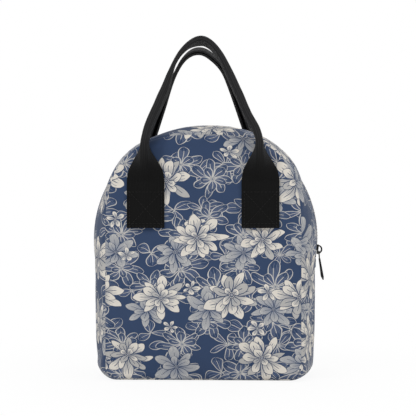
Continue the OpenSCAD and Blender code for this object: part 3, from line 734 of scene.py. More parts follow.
def webbing_material():
    """Woven polypropylene webbing: near black and dull, ribbed along its length, fuzzy with use,
    and painted paler up its grips as painted light.
    """
    material, tree, shader = start_material(
        "polypropylene webbing", Roughness=0.7, Specular_IOR_Level=0.1, Sheen_Weight=0.04,
        Sheen_Roughness=0.4)
    u, v = cloth_uv(tree)
    rib = add_node(tree, MATH, [("SINE", ("MULTIPLY", u, math.pi / RIB_PITCH))],
                   operation="ABSOLUTE")
    staggered = ("ADD", ("MULTIPLY", v, math.pi / PICK_PITCH),
                 ("MULTIPLY", ("FLOOR", ("DIVIDE", u, RIB_PITCH)), 1.57))
    pick = add_node(tree, MATH, [("SINE", staggered)], operation="ABSOLUTE")
    stretched = add_node(tree, COMBINE, (("MULTIPLY", u, 2.0), ("MULTIPLY", v, 0.5)))
    fuzz = add_node(tree, NOISE, {"Vector": stretched, "Scale": 1.0, "Detail": 3.0,
                                  "Roughness": 0.5})
    place = add_node(tree, SPLIT, [add_node(tree, "ShaderNodeTexCoord").outputs["Object"]])
    # Painted light: 0 on the flat tabs, rising to 1 up the lit grips
    grips_painted_lit = add_node(tree, "ShaderNodeMapRange",
                    {"Value": place.outputs[2], "From Min": GRIP_LIGHT_FROM, "From Max": GRIP_LIGHT_TO},
                    interpolation_type="SMOOTHSTEP")
    # Painted light: each pair runs from the tabs' dark colour to the grips' paler one, which stands
    # in for the light falling on the legs
    low, high = [add_node(tree, MIX, {0: grips_painted_lit, 6: linear(new), 7: linear(used)},
                          data_type="RGBA").outputs[2]
                 for new, used in (("#060606", "#161617"), ("#121212", "#303031"))]
    lit = ("ADD", ("ADD", ("MULTIPLY", rib, 0.55), ("MULTIPLY", fuzz, 0.35)),
           ("MULTIPLY", pick, 0.1))
    colour = add_node(tree, MIX, {0: lit, 6: low, 7: high}, data_type="RGBA")
    dress(tree, shader, colour.outputs[2], ("ADD", rib, ("MULTIPLY", pick, 0.35)), 0.7, 0.0003)
    return material


def grained_material(name, low, high, roughness, grains, depth=0.00004, metallic=0.0,
                     specular=0.5):
    """A finish whose colour wanders between two hex values, with so many grains to the metre."""
    material, tree, shader = start_material(name, Metallic=metallic, Specular_IOR_Level=specular)
    where = add_node(tree, "ShaderNodeTexCoord").outputs["Object"]
    grain = add_node(tree, NOISE, {"Vector": where, "Scale": grains, "Detail": 3.0,
                                   "Roughness": 0.5})
    colour = add_node(tree, MIX, {0: grain, 6: linear(low), 7: linear(high)}, data_type="RGBA")
    dress(tree, shader, colour.outputs[2], grain, 0.4, depth)
    # Broader patches, some seven grains across, are rubbed smoother or rougher
    rubbed = add_node(tree, NOISE, {"Vector": where, "Scale": grains / 7, "Detail": 2.0,
                                    "Roughness": 0.5})
    wear = add_node(tree, MATH, (("MULTIPLY", rubbed, 0.16), roughness - 0.08), operation="ADD")
    tree.links.new(wear.outputs[0], shader.inputs["Roughness"])
    return material


def foil_material():
    """Aluminised foil lining: silvery, embossed with 3.2 mm diamonds and softly crumpled."""
    material, tree, shader = start_material("aluminised foil lining", Metallic=0.85,
                                            Roughness=0.34)
    u, v = cloth_uv(tree)
    diamond = [("ABSOLUTE", ("SINE", ("MULTIPLY", (way, u, v), math.pi / 3.2)))
               for way in ("ADD", "SUBTRACT")]
    crumple = add_node(tree, NOISE, {"Vector": add_node(tree, COMBINE, (u, v)), "Scale": 0.09,
                                     "Detail": 4.0, "Roughness": 0.6})
    colour = add_node(tree, MIX, {0: crumple, 6: linear("#aeb3b8"), 7: linear("#d5d8da")},
                      data_type="RGBA")
    height = ("ADD", ("MULTIPLY", crumple, 2.0),
              ("MULTIPLY", ("MULTIPLY", *diamond), 0.25))
    dress(tree, shader, colour.outputs[2], height, 0.8, 0.0011)
    return material


PRINT = print_material()
WEBBING = webbing_material()
FOIL = foil_material()
# Woven polyester tape: dull, with a weave of 0.4 mm
TAPE = grained_material("polyester zip tape", "#0d0d0e", "#1c1c1e", 0.8, 2600.0, 0.00015,
                        specular=0.2)
# Moulded acetal: dark and a little shiny, almost smooth
TEETH = grained_material("moulded acetal", "#0f0f10", "#1a1a1c", 0.42, 900.0)
# Woven polypropylene tape: dull, with a weave of 0.45 mm
BINDING = grained_material("polypropylene binding", "#141415", "#222224", 0.82, 2200.0, 0.00012,
                           specular=0.2)
# Spun polyester thread: soft lustre, with a twist of 0.2 mm
THREAD = grained_material("black polyester thread", "#0b0b0b", "#1d1c1b", 0.6, 5000.0,
                          specular=0.25)
BLUE_THREAD = grained_material("navy polyester thread", "#2a3a58", "#3d4f72", 0.55, 5000.0)
# Die-cast zinc, plated black: darkly shiny, with the casting's faint swell of 1.7 mm
METAL = grained_material("black-plated zinc", "#141416", "#1f2023", 0.3, 600.0, 0.00002,
                         metallic=0.6)

# ---- canvas pieces -------------------------------------------------------------------
built_points, shell_parts, shell_uv, shell_pin = build_shell()
PANEL_UV = built_points[:, [0, 2]].copy()
shell_points = settle(built_points, shell_parts, shell_pin)

# How far each point of the shell stands from the plain rule, and a tree to find those near a place
shell_moves = shell_points - built_points
for row_number, row_y in enumerate(ROWS):
    this_row = slice(row_number * len(RING), (row_number + 1) * len(RING))
    shell_moves[this_row] += strip_shape(RING, row_y)
shell_tree = KDTree(len(built_points))
for point_number, point in enumerate(built_points):
    shell_tree.insert(point, point_number)
shell_tree.balance()
# So many of the shell's nearest points move a point of the layers inside it
NEAREST = 8


def follow(points):
    """Moves the points of an inner layer as the shell outside them has moved."""
    moved = points.copy()
    for i, point in enumerate(points):
        near = shell_tree.find_n(point, NEAREST)
        weight = np.array([1 / (gap + 1) ** 2 for _, _, gap in near])
        moved[i] += weight @ shell_moves[[index for _, index, _ in near]] / weight.sum()
    return moved


def thin_by_zip(co):
    """Full padding away from the zip, canvas alone over the zip's tape."""
    lane = 1 - smoothstep(TAPE_REACH, TAPE_REACH + 5, abs(co.y))
    return 1 - (1 - OUTER_T / PAD_T) * lane * (1 if co.z > ZIP_END_Z - 3 else 0)


def carry(piece, body=None):
    """Fixes a piece to its body; without one, its place is baked into its mesh."""
    if body:
        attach(piece, body)
    else:
        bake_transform(piece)


def cloth_piece(name, part, replaced, body=None, levels=2):
    """One padded piece of the shell, canvas and foam together."""
    uv = PANEL_UV if part.startswith("panel") else shell_uv
    piece = part_object(name, shell_points, shell_parts[part], uv, PRINT, PAD_T, thin_by_zip,
                        levels)
    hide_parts(*replaced)
    carry(piece, body)


cloth_piece("front_panel", "panel_front", ("front_lower_outer", "front_lower_foam",
                                           "front_upper_outer", "front_upper_foam"))
cloth_piece("back_panel", "panel_back", ("back_panel_outer", "back_panel_foam"), "bag")
cloth_piece("front_gusset", "front", ("front_gusset_outer", "front_gusset_foam"))
cloth_piece("rear_gusset", "rear", ("rear_gusset_outer", "rear_gusset_foam"), "bag")
cloth_piece("lower_gusset", "low", ("lower_gusset_outer", "lower_gusset_foam"), "bag", levels=1)

# ---- lining and binding --------------------------------------------------------------
LINING_INSET = OUTER_T + FOAM_T
CRUMPLE = 0.35
# The strips crumple inwards, towards this point
STRIP_CENTRE = np.array([0, 0, WAIST_Z - 30])


def strip(name, s, ys, inset, thick, material, crumple=0.0):
    """A strip of the gusset's shape at an inset from the outside, with its thickness inwards."""
    points = np.concatenate([gusset_point(s, y, inset) for y in ys])
    if crumple:
        x, y, z = points.T
        wave = (np.sin(x * 0.31 + z * 0.23) * np.sin(y * 0.27 + 1)
                + 0.6 * np.sin(z * 0.61 - y * 0.35))
        inward = STRIP_CENTRE - points
        inward[:, 1] = 0
        inward /= np.linalg.norm(inward, axis=1, keepdims=True)
        points = follow(points + inward * (crumple * (1 + wave))[:, None])
    uv = np.concatenate([np.stack([s, np.full(len(s), y)], 1) for y in ys])
    obj = make_object(name, points, grid_faces(len(ys), len(s)), uv, material)
    return thicken(turn_out(obj), thick)


def panel_lining(name, side):
    """A panel's lining: a crumpled sheet behind its foam."""
    flat = panel_grid(LINING_INSET)
    xz = flat.reshape(-1, 2)
    x, z = xz.T
    wave = np.sin(x * 0.13 + 0.7) * np.sin(z * 0.11) + 0.5 * np.sin(x * 0.27 - z * 0.21)
    edge = along(RING, LINING_INSET, 0)
    distance = np.min(np.linalg.norm(xz[:, None] - edge[None], axis=2), axis=1)
    y = side * (FACE_Y + panel_face(x, z) * smoothstep(0, CROWN_RIM, distance) - LINING_INSET
                - CRUMPLE * (1 + wave))
    obj = make_object(name, follow(np.stack([x, y, z], 1)), grid_faces(*flat.shape[:2]), xz, FOIL)
    return thicken(turn_out(obj), LINING_T)


UPPER = np.linspace(ZIP_END_S, 2 * HALF - ZIP_END_S, 150)
LOWER = np.linspace(-ZIP_END_S, ZIP_END_S, 150)
FRONT_YS = list(-np.linspace(FACE_Y - WALL_T, ZIP_LANE, 14))
LOWER_YS = list(np.linspace(WALL_T - FACE_Y, FACE_Y - WALL_T, 30))
FOIL_LAYER = (LINING_INSET, LINING_T, FOIL, CRUMPLE)
# Flat sizes in metres and areas in square metres, between the seams of each lining
PANEL_FLAT, UPPER_FLAT, LOWER_FLAT = ((0.2, 0.25), 0.044), ((0.37, 0.055), 0.019), (
    (0.43, 0.125), 0.052)
for piece, replaced, body, (flat, area) in (
        (panel_lining("front_lining", -1), ("front_lower_lining", "front_upper_lining"), None,
         PANEL_FLAT),
        (panel_lining("back_lining", 1), ("back_panel_lining",), "bag", PANEL_FLAT),
        (strip("front_gusset_foil", UPPER, FRONT_YS, *FOIL_LAYER), ("front_gusset_lining",), None,
         UPPER_FLAT),
        (strip("rear_gusset_foil", UPPER[::-1], [-y for y in FRONT_YS], *FOIL_LAYER),
         ("rear_gusset_lining",), "bag", UPPER_FLAT),
        (strip("lower_gusset_foil", LOWER, LOWER_YS, *FOIL_LAYER), ("lower_gusset_lining",),
         "bag", LOWER_FLAT)):
    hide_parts(*replaced)
    carry(piece, body)

# The binding's section, folded over the raw seam: (into the bag, back from the panel)
BINDING_LOOP = ((0.0, 0.0), (0.5, 0.5), (0.5, 4.0), (0.35, 7.6), (0.0, 8.6), (-0.6, 9.0),
                (-1.0, 8.0), (-1.05, 4.0), (-0.7, 0.4))
BINDING_STATIONS = np.linspace(0, 2 * HALF, 260)


def seam_binding(name, side):
    """Binding tape folded over the raw seam inside, all round a panel."""
    n, rows = len(BINDING_STATIONS), len(BINDING_LOOP)
    edge = along(BINDING_STATIONS, WALL_T + 0.2, 0)
    inward = np.array([0, WAIST_Z - 20]) - edge
    inward /= np.linalg.norm(inward, axis=1, keepdims=True)
    points = []
    for into, back in BINDING_LOOP:
        xz = edge + inward * (0.7 + into)
        y = np.full(n, side * (FACE_Y - WALL_T - 0.3 - back))
        points.append(np.stack([xz[:, 0], y, xz[:, 1]], 1))
    faces = []
    for i in range(rows):
        here, after = i * n, (i + 1) % rows * n
        faces += [(here + j, here + j + 1, after + j + 1, after + j) for j in range(n - 1)]
    faces += [tuple(i * n for i in range(rows)),
              tuple(i * n + n - 1 for i in range(rows))[::-1]]
    obj = face_outwards(make_object(name, np.concatenate(points), faces, None, BINDING))
    return obj


for piece, replaced, body in (
        (seam_binding("front_seam_binding", -1), ("front_lower_binding", "front_upper_binding"),
         None),
        (seam_binding("back_seam_binding", 1), ("rear_binding",), "bag")):
    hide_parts(*replaced)
    carry(piece, body)

# ---- handles -------------------------------------------------------------------------
LEAN, LEAN_Z = math.tan(math.radians(12)), 242.6
# Half-widths of the webbing as it folds, at heights above the tab
FLARE_Z = [HINGE_Z, 201, 206, 211, 216, 221, 226, 231, 236, 241]
FLARE_HALF = [18.75, 18.72, 18.1, 16.95, 14.35, 11.55, 8.3, 5.85, 4.35, 3.85]
# Radii of the fold's spine: on the legs, at the crown, and how much less where it is pressed
LEG_BEND, TOP_BEND, PRESSED_BEND = 4.3, 2.6, 0.8
# The grips' lines above the tabs: (height, half the distance between the legs' outer edges)
FRONT_LINE = ((249, 57.6), (255, 56.0), (261, 53.7), (267, 51.4), (273, 48.6), (279, 45.9),
              (285, 43.9), (291, 41.0), (297, 38.1), (303, 35.7), (309, 32.8), (315, 30.0),
              (321, 27.2), (327, 24.2), (333, 20.4), (339.5, 15.6), (345.5, 8.4))
BACK_LINE = ((249, 58.6), (256, 56.4), (262, 54.4), (269, 52.0), (282, 47.6), (295, 43.2),
             (309, 38.2), (323.5, 32.2), (332, 27.4), (338.8, 22.2), (345, 15.4), (349.8, 8.6))
FRONT_TOP_Z, BACK_TOP_Z = 348.6, 351.6
# How far each grip stands to one side: as a whole, where it is pressed flat, and at its crown
FRONT_SHIFTS, BACK_SHIFTS = (-2.2, -1.9, 0.0), (-8.0, 0.9, -1.6)
# How far the right legs bulge just above their tabs
RIGHT_BULGE = 2.4
# How far each grip's fold droops, at its crown and where it is pressed flat
FRONT_TILTS, BACK_TILTS = (12, -12), (19, 13)
# Heights over which the grips change
CROWN_HEIGHTS, PRESSED_HEIGHTS, PRESSED_ASIDE = (300, 342), (290, 316), (0, 26)
TILT_HEIGHTS, LIFT_HEIGHTS = (LEAN_Z - 4, LEAN_Z + 22), (HINGE_Z, 222)
SHIFT_HEIGHTS, CROWN_SHIFT_HEIGHTS = (205, 262), (325, 345)
BULGE_RISE, BULGE_FALL = (228, 246), (250, 268)
LEG_STEP, LEG_TOP_Z, LINE_STEPS, LINE_SMOOTHING = 3.0, 236, 271, 14
SPAN = np.linspace(-1, 1, 41) * (WEB_W / 2 + 0.15)


def fold_offsets(fold, bend, where):
    """Section of webbing folded by an angle about its spine: (across, back) at distances."""
    fold = max(fold, 1e-4)
    inner = np.clip(where, -bend, bend)
    across = bend / fold * np.sin(fold * inner / bend)
    back = bend / fold * (1 - np.cos(fold * inner / bend))
    rest = np.abs(where) - np.abs(inner)
    return across + np.sign(where) * rest * math.cos(fold), back + rest * math.sin(fold)


def fold_for(half_width):
    """The fold angle that narrows the webbing to a half-width, found by halving."""
    low, high = 0.0, math.pi / 2
    for _ in range(40):
        middle = (low + high) / 2
        across, _ = fold_offsets(middle, LEG_BEND, np.array([WEB_W / 2]))
        if across[0] + WEB_T / 2 * math.sin(middle) > half_width:
            low = middle
        else:
            high = middle
    return middle


def leg_line(table, top_z):
    """The grip's middle line from one tab's foot to the other's, as even steps."""
    half = (WEB_T / 2 + LEG_BEND * 2 / math.pi)
    rows = [(TAB_X, z) for z in np.arange(TAB_Z, LEG_TOP_Z, LEG_STEP)]
    edge = [np.array((x, z), float) for z, x in table]
    for i, point in enumerate(edge):
        ahead = edge[min(i + 1, len(edge) - 1)] - edge[max(i - 1, 0)]
        ahead /= np.linalg.norm(ahead)
        rows.append(tuple(point - half * np.array([ahead[1], -ahead[0]])))
    rows.append((0.0, top_z - half))
    rows = np.array(rows)
    whole = np.concatenate([rows, (rows * [-1, 1])[::-1][1:]])
    steps = np.linalg.norm(np.diff(whole, axis=0), axis=1)
    length = np.concatenate([[0], np.cumsum(steps)])
    even = np.linspace(0, length[-1], LINE_STEPS)
    line = np.stack([np.interp(even, length, whole[:, k]) for k in (0, 1)], 1)
    for _ in range(LINE_SMOOTHING):
        line[1:-1] = (line[:-2] + 2 * line[1:-1] + line[2:]) / 4
    return line, even


def webbing_row(side, place, ahead, shifts, tilts):
    """Points across the webbing at one place of its middle line."""
    (x, z), (tx, tz) = place, ahead
    shift, pressed_shift, crown_shift = shifts
    top = float(smoothstep(*CROWN_HEIGHTS, z))
    # Both grips are pressed flatter a little left of their crowns
    pressed = float(smoothstep(*PRESSED_HEIGHTS, z) * smoothstep(*PRESSED_ASIDE, -x))
    fold = fold_for(np.interp(z, FLARE_Z, FLARE_HALF)) if z < FLARE_Z[-1] else math.pi / 2
    bend = LEG_BEND + (TOP_BEND - LEG_BEND) * max(top, pressed) - PRESSED_BEND * pressed
    across, back = fold_offsets(fold, bend, SPAN)
    droop = tilts[0] + (tilts[1] - tilts[0]) * pressed
    tilt = math.radians(droop) * float(smoothstep(*TILT_HEIGHTS, z))
    tab_face = FACE_Y + float(panel_face(np.array(abs(x)), np.array(z)))
    base = (tab_face + (FACE_Y + RUN_GAP - tab_face) * float(smoothstep(*LIFT_HEIGHTS, z))
            + WEB_T / 2 + 0.1)
    spine_y = base + back[-1] * math.cos(tilt)
    height = z + across * -tx
    x_shift = (shift * float(smoothstep(*SHIFT_HEIGHTS, z)) + pressed_shift * pressed
               + crown_shift * float(smoothstep(*CROWN_SHIFT_HEIGHTS, z)))
    if x > 0:
        x_shift += RIGHT_BULGE * float(smoothstep(*BULGE_RISE, z)
                                       * (1 - smoothstep(*BULGE_FALL, z)))
    lean = np.maximum(0, height - LEAN_Z) * LEAN
    return np.stack([x + x_shift + across * tz,
                     side * (spine_y - back * math.cos(tilt)) - side * lean,
                     height - back * math.sin(tilt)], 1)


def webbing(name, side, table, top_z, shifts, tilts):
    """One handle, sewn flat to the panel at both ends and folded about its spine between."""
    line, length = leg_line(table, top_z)
    ahead = np.gradient(line, axis=0)
    ahead /= np.linalg.norm(ahead, axis=1, keepdims=True)
    points = [webbing_row(side, place, way, shifts, tilts) for place, way in zip(line, ahead)]
    uv = [np.stack([SPAN, np.full(len(SPAN), run)], 1) for run in length]
    obj = make_object(name, np.concatenate(points), grid_faces(len(line), len(SPAN)),
                      np.concatenate(uv), WEBBING)
    thicken(obj, WEB_T, offset=0)
    edge = obj.modifiers.new("edge", "BEVEL")
    edge.width, edge.segments, edge.limit_method = 0.55 * MM, 2, "ANGLE"
    edge.angle_limit = math.radians(50)
    face_outwards(bake(obj))
    return obj


for end, side, table, top_z, shifts, tilts, fixed in (
        ("front", -1, FRONT_LINE, FRONT_TOP_Z, FRONT_SHIFTS, FRONT_TILTS, "front_flap"),
        ("back", 1, BACK_LINE, BACK_TOP_Z, BACK_SHIFTS, BACK_TILTS, "bag")):
    handle = webbing(f"{end}_handle_webbing", side, table, top_z, shifts, tilts)
    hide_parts(f"{end}_handle_loop", f"{end}_tab_left", f"{end}_tab_right")
    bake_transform(handle)


# ---- copies along a path -------------------------------------------------------------
def path_tree():
    """Geometry Nodes: one shape at even steps along paths, standing on their outward side."""
    tree = bpy.data.node_groups.new("copies along a path", "GeometryNodeTree")
    for name, kind in (("Path", "Geometry"), ("Shape", "Object"), ("Pitch", "Float"),
                       ("Finish", "Material")):
        tree.interface.new_socket(name, in_out="INPUT", socket_type="NodeSocket" + kind)
    tree.interface.new_socket("Copies", in_out="OUTPUT", socket_type="NodeSocketGeometry")
    given = tree.nodes.new("NodeGroupInput").outputs
    curve = add_node(tree, "GeometryNodeMeshToCurve", {"Mesh": given["Path"]})
    even = add_node(tree, "GeometryNodeResampleCurve",
                    {"Curve": curve, "Length": given["Pitch"]}, mode="LENGTH")
    out = add_node(tree, "GeometryNodeInputNamedAttribute", {"Name": "out"},
                   data_type="FLOAT_VECTOR")
    ahead = add_node(tree, "GeometryNodeInputTangent")
    stand = add_node(tree, "FunctionNodeAlignRotationToVector", {"Vector": out}, axis="Z")
    turn = add_node(tree, "FunctionNodeAlignRotationToVector",
                    {"Rotation": stand, "Vector": ahead}, axis="X", pivot_axis="Z")
    shape = add_node(tree, "GeometryNodeObjectInfo",
                     {"Object": given["Shape"], "As Instance": True})
    copies = add_node(tree, "GeometryNodeInstanceOnPoints",
                      {"Points": even, "Instance": shape.outputs["Geometry"], "Rotation": turn})
    real = add_node(tree, "GeometryNodeRealizeInstances", {"Geometry": copies})
    finish = add_node(tree, "GeometryNodeSetMaterial",
                      {"Geometry": real, "Material": given["Finish"]})
    add_node(tree, "NodeGroupOutput", [finish])
    return tree


PATH_TREE = path_tree()


def copies_along(name, paths, shape, pitch, material):
    """Copies of a shape along paths, each its points in millimetres and their outward ways."""
    points, outs, edges = [], [], []
    for line, out in paths:
        first = sum(len(p) for p in points)
        edges += [(first + i, first + i + 1) for i in range(len(line) - 1)]
        points.append(line)
        outs.append(out)
    mesh = bpy.data.meshes.new(name)
    mesh.from_pydata([tuple(p) for p in np.concatenate(points) * MM], edges, [])
    outward = mesh.attributes.new("out", "FLOAT_VECTOR", "POINT")
    outward.data.foreach_set("vector", np.concatenate(outs).ravel())
    obj = link_object(name, mesh)
    maker = obj.modifiers.new("copies", "NODES")
    maker.node_group = PATH_TREE
    keys = {item.name: item.identifier for item in PATH_TREE.interface.items_tree
            if item.in_out == "INPUT"}
    maker[keys["Shape"]], maker[keys["Pitch"]], maker[keys["Finish"]] = (
        shape, pitch * MM, material)
    return bake(obj)


def loft(name, rings):
    """A closed form through rings of points, its two ends filled."""
    columns = len(rings[0])
    faces = grid_faces(len(rings), columns, close=True)
    faces += [tuple(range(columns)),
              tuple(range((len(rings) - 1) * columns, len(rings) * columns))]
    return face_outwards(make_object(name, np.concatenate(rings), faces))


# One stitch: its length and thickness, and its rings as shares (along, height, thickness)
STITCH_L, STITCH_T, STITCH_PITCH = 2.5, 0.5, 3.3
STITCH_RINGS = ((-0.5, -0.5, 0.35), (-0.38, 0.1, 0.95), (0.0, 0.3, 1.0), (0.38, 0.1, 0.95),
                (0.5, -0.5, 0.35))
# Half of a tooth's outline, X along the zip and Y across it, and its rings (height, share)
TOOTH_SIDE = ((-0.62, -0.1), (-0.62, 0.9), (-0.45, 1.3), (-0.45, 2.1), (-0.66, 2.6), (-0.6, 3.1),
              (-0.3, 3.4))
TOOTH_RINGS = ((-0.1, 1.0), (1.3, 1.0), (1.75, 0.9), (1.88, 0.7))


def stitch_shape():
    """A sewn stitch along X: a short thread that dives into the cloth at both ends."""
    turn = np.radians(np.arange(0, 360, 60))
    rings = []
    for place, high, size in STITCH_RINGS:
        r = STITCH_T / 2 * size
        rings.append(np.stack([0 * turn + place * STITCH_L, r * np.cos(turn),
                               r * np.sin(turn) + high * STITCH_T], 1))
    return loft("stitch", rings)


def tooth_shape():
    """A moulded zip tooth: a neck, and a round head that reaches past the zip's middle."""
    outline = np.array(list(TOOTH_SIDE) + [(-x, y) for x, y in TOOTH_SIDE[::-1]])
    middle = outline.mean(axis=0)
    rings = []
    for high, share in TOOTH_RINGS:
        flat = middle + (outline - middle) * share
        rings.append(np.stack([flat[:, 0], flat[:, 1], np.full(len(flat), high)], 1))
    return loft("tooth", rings)


def snap(piece, points):
    """Nearest places on a piece's surface."""
    mesh = piece.data
    tree = BVHTree.FromPolygons([v.co / MM for v in mesh.vertices],
                                [tuple(p.vertices) for p in mesh.polygons])
    return np.array([tree.find_nearest(Vector(p))[0] for p in points])


def sew(name, paths, material, body=None):
    """A row of stitches along each path."""
    thread = copies_along(name, paths, STITCH, STITCH_PITCH, material)
    carry(thread, body)


STITCH, TOOTH = stitch_shape(), tooth_shape()

# ---- zip -----------------------------------------------------------------------------
TEETH_R = ZIP_R - OUTER_T
TEETH_REACH, TEETH_PITCH = 3.0, 3.0
# Angles below the level of the zip's centre: of its ends, and from there to the first tooth
ZIP_END_A, STOP_SPAN = math.degrees(math.asin((WAIST_Z - ZIP_END_Z) / ZIP_R)), 0.9
TAPE_YS = [TAPE_GAP, 1.2, 1.7, 2.2, 3.0, 5.0, 7.0, 9.0, 12.0, TAPE_REACH]


def zip_path(start, end, y, radius):
    """An arc about the zip's centre from angle to angle, and its outward ways."""
    angle = np.radians(np.linspace(start, end, 400))
    out = np.stack([np.cos(angle), 0 * angle, np.sin(angle)], 1)
    return out * radius + [0, y, WAIST_Z], out


front_tape = strip("front_tape", UPPER, [-y for y in TAPE_YS[::-1]], OUTER_T, TAPE_T, TAPE)
rear_tape = strip("rear_tape", UPPER, TAPE_YS, OUTER_T, TAPE_T, TAPE)
first, last = -ZIP_END_A + STOP_SPAN, 180 + ZIP_END_A - STOP_SPAN
half_step = math.degrees(TEETH_PITCH / TEETH_R) / 2
front_teeth = copies_along("front_teeth", [zip_path(last, first, -TEETH_REACH, TEETH_R)],
                           TOOTH, TEETH_PITCH, TEETH)
rear_teeth = copies_along(
    "rear_teeth", [zip_path(first + half_step, last - half_step, TEETH_REACH, TEETH_R)],
    TOOTH, TEETH_PITCH, TEETH)
for piece, replaced, body, slot in (
        (front_tape, ("front_zip_tape", "front_tape_ends"), None, "zip_tape"),
        (rear_tape, ("rear_zip_tape",), "bag", "zip_tape"),
        (front_teeth, ("front_zip_teeth", "front_teeth_ends"), None, "zip_teeth"),
        (rear_teeth, ("rear_zip_teeth",), "bag", "zip_teeth")):
    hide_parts(*replaced)
    carry(piece, body)

for side, gusset, body in ((-1, "front_gusset", None), (1, "rear_gusset", "bag")):
    row = shell_points[ROWS.index(side * STITCH_Y) * len(RING):][:len(RING)]
    row = row[row[:, 2] > ZIP_END_Z + 2]
    away = row - [0, 0, WAIST_Z]
    away[:, 1] = 0
    away /= np.linalg.norm(away, axis=1, keepdims=True)
    place = snap(bpy.data.objects[gusset], row + away * 1.5)
    sew(f"{gusset}_topstitch", [(place, away)], BLUE_THREAD, body)

# The end tabs: their length, their steps along and across, and how they stand over the canvas
END_TAB_L, END_TAB_STEPS, END_TAB_T = 11, (14, 25), 1.2
END_TAB_EDGE, END_TAB_RISE, END_TAB_ROUND = 0.45, 0.75, 1.6
END_TAB_PRINT = (61, 87)


def end_tab(side):
    """A short tab of canvas sewn over the zip's end, folded under at its edges."""
    heights = np.linspace(ZIP_END_Z - END_TAB_L, ZIP_END_Z, END_TAB_STEPS[0])
    s = np.array([length_at_height(z) for z in heights])
    s = s if side > 0 else 2 * HALF - s
    from_ends = np.minimum(heights - heights[0], heights[-1] - heights)
    points, uv = [], []
    for y in np.linspace(-1, 1, END_TAB_STEPS[1]) * ZIP_LANE:
        edge = np.minimum(ZIP_LANE - abs(y), from_ends)
        lift = END_TAB_EDGE + END_TAB_RISE * smoothstep(0, END_TAB_ROUND, edge)
        row = gusset_point(s, y, 0)
        out = row - gusset_point(s, y, 1.0)
        out /= np.linalg.norm(out, axis=1, keepdims=True)
        points.append(row + out * lift[:, None])
        uv.append(np.stack([s + END_TAB_PRINT[0], np.full(len(s), y + END_TAB_PRINT[1])], 1))
    obj = make_object(f"end_tab_{side}", np.concatenate(points),
                      grid_faces(END_TAB_STEPS[1], len(s)), np.concatenate(uv), PRINT)
    return thicken(turn_out(obj), END_TAB_T)


work = bmesh.new()
for side in (1, -1):
    tab = end_tab(side)
    work.from_mesh(tab.data)
    bpy.data.objects.remove(tab)
joined = bpy.data.meshes.new("end_tabs")
work.to_mesh(joined)
work.free()
joined.materials.append(PRINT)
joined.polygons.foreach_set("use_smooth", [True] * len(joined.polygons))
end_tabs = link_object("end_tabs", joined)
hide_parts("zip_end_tabs")
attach(end_tabs, "bag")


# ---- slider and pull -----------------------------------------------------------------
def bevelled_copy(name, node, width, body, reshape=None):
    """A metal piece's own form with its edges rounded; reshape may move its points first."""
    obj = link_object(name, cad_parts[node].data.copy())
    work = bmesh.new()
    work.from_mesh(obj.data)
    bmesh.ops.remove_doubles(work, verts=work.verts, dist=0.00002)
    bmesh.ops.dissolve_limit(work, angle_limit=math.radians(2), verts=work.verts,
                             edges=work.edges)
    if reshape:
        for vertex in work.verts:
            vertex.co = reshape(vertex.co)
    work.to_mesh(obj.data)
    work.free()
    obj.data.materials.clear()
    obj.data.materials.append(METAL)
    edge = obj.modifiers.new("edge", "BEVEL")
    edge.width, edge.segments, edge.limit_method = width * MM, 3, "ANGLE"
    edge.angle_limit = math.radians(28)
    edge.use_clamp_overlap = True
    bake(obj)
    obj.data.polygons.foreach_set("use_smooth", [True] * len(obj.data.polygons))
    obj.data.set_sharp_from_angle(angle=math.radians(50))
    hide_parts(node)
    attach(obj, body)


PARK_A, PULL_TILT = math.radians(5.93), math.radians(18)
SLIDER_AXES = Matrix.Rotation(PARK_A, 3, "Y")
SLIDER_CENTRE = Vector((ZIP_R * math.cos(PARK_A), 0, WAIST_Z - ZIP_R * math.sin(PARK_A)))
PLATE_TOP, BRIDGE_H, BRIDGE_HALF_L, BRIDGE_HALF_W = 2.65, 3.7, 4.2, 1.2
# The bridge's outer half is stretched upwards and along
BRIDGE_TALLER, BRIDGE_LONGER = 1.14, 1.1
PULL_PIVOT = Vector((118.76, 0, 127.54))
PULL_AXES = Matrix.Rotation(PARK_A - PULL_TILT, 3, "Y")
# Along the pull from its pivot: its bar ends, its tail swells, and its tip thins
BAR_END, TAIL_SWELLS, TIP_THINS = 3, (10, 24), (25.5, 30)


def stout_bridge(co):
    """Thickens the slider's bridge outwards."""
    local = SLIDER_AXES.inverted() @ (co / MM - SLIDER_CENTRE)
    over = local.x - PLATE_TOP
    if over > -0.01 and abs(local.y) < BRIDGE_HALF_W and (
            (over / BRIDGE_H) ** 2 + (local.z / BRIDGE_HALF_L) ** 2 > 0.9):
        local.x, local.z = PLATE_TOP + over * BRIDGE_TALLER, local.z * BRIDGE_LONGER
    return (SLIDER_AXES @ local + SLIDER_CENTRE) * MM


def taper_pull(co):
    """Thins the pull's arms, swells its tail and bends it a little."""
    local = PULL_AXES.inverted() @ (co / MM - PULL_PIVOT)
    down = -local.z
    if down > BAR_END:
        local.x *= 0.85 + 0.6 * float(smoothstep(*TAIL_SWELLS, down)
                                      - 1.5 * smoothstep(*TIP_THINS, down))
        local.x += 0.0042 * down ** 2 - 0.19 * down
    return (PULL_AXES @ local + PULL_PIVOT) * MM


bevelled_copy("slider_body", "zip_slider", 0.3, "zip_slider", stout_bridge)
bevelled_copy("pull_tab", "zip_pull", 0.35, "zip_pull", taper_pull)
bevelled_copy("stop_bars", "zip_stops", 0.25, "bag")

# ---- stitching on the handles' feet --------------------------------------------------
BOX_HALF, BOX_LOW, BOX_HIGH, SECOND_LINE = 16.8, TAB_Z + 2.0, TAB_Z + 36.0, 2.4


def box_paths(x):
    """A sewn box with a cross in it and a second line at its foot, as (x, z) points."""
    left, right, low, high = x - BOX_HALF, x + BOX_HALF, BOX_LOW, BOX_HIGH
    corners = (((left, low), (right, low)), ((right, low), (right, high)),
               ((right, high), (left, high)), ((left, high), (left, low)),
               ((left, low), (right, high)), ((left, high), (right, low)),
               ((left, low + SECOND_LINE), (right, low + SECOND_LINE)))
    return [np.linspace(a, b, 30) for a, b in corners]


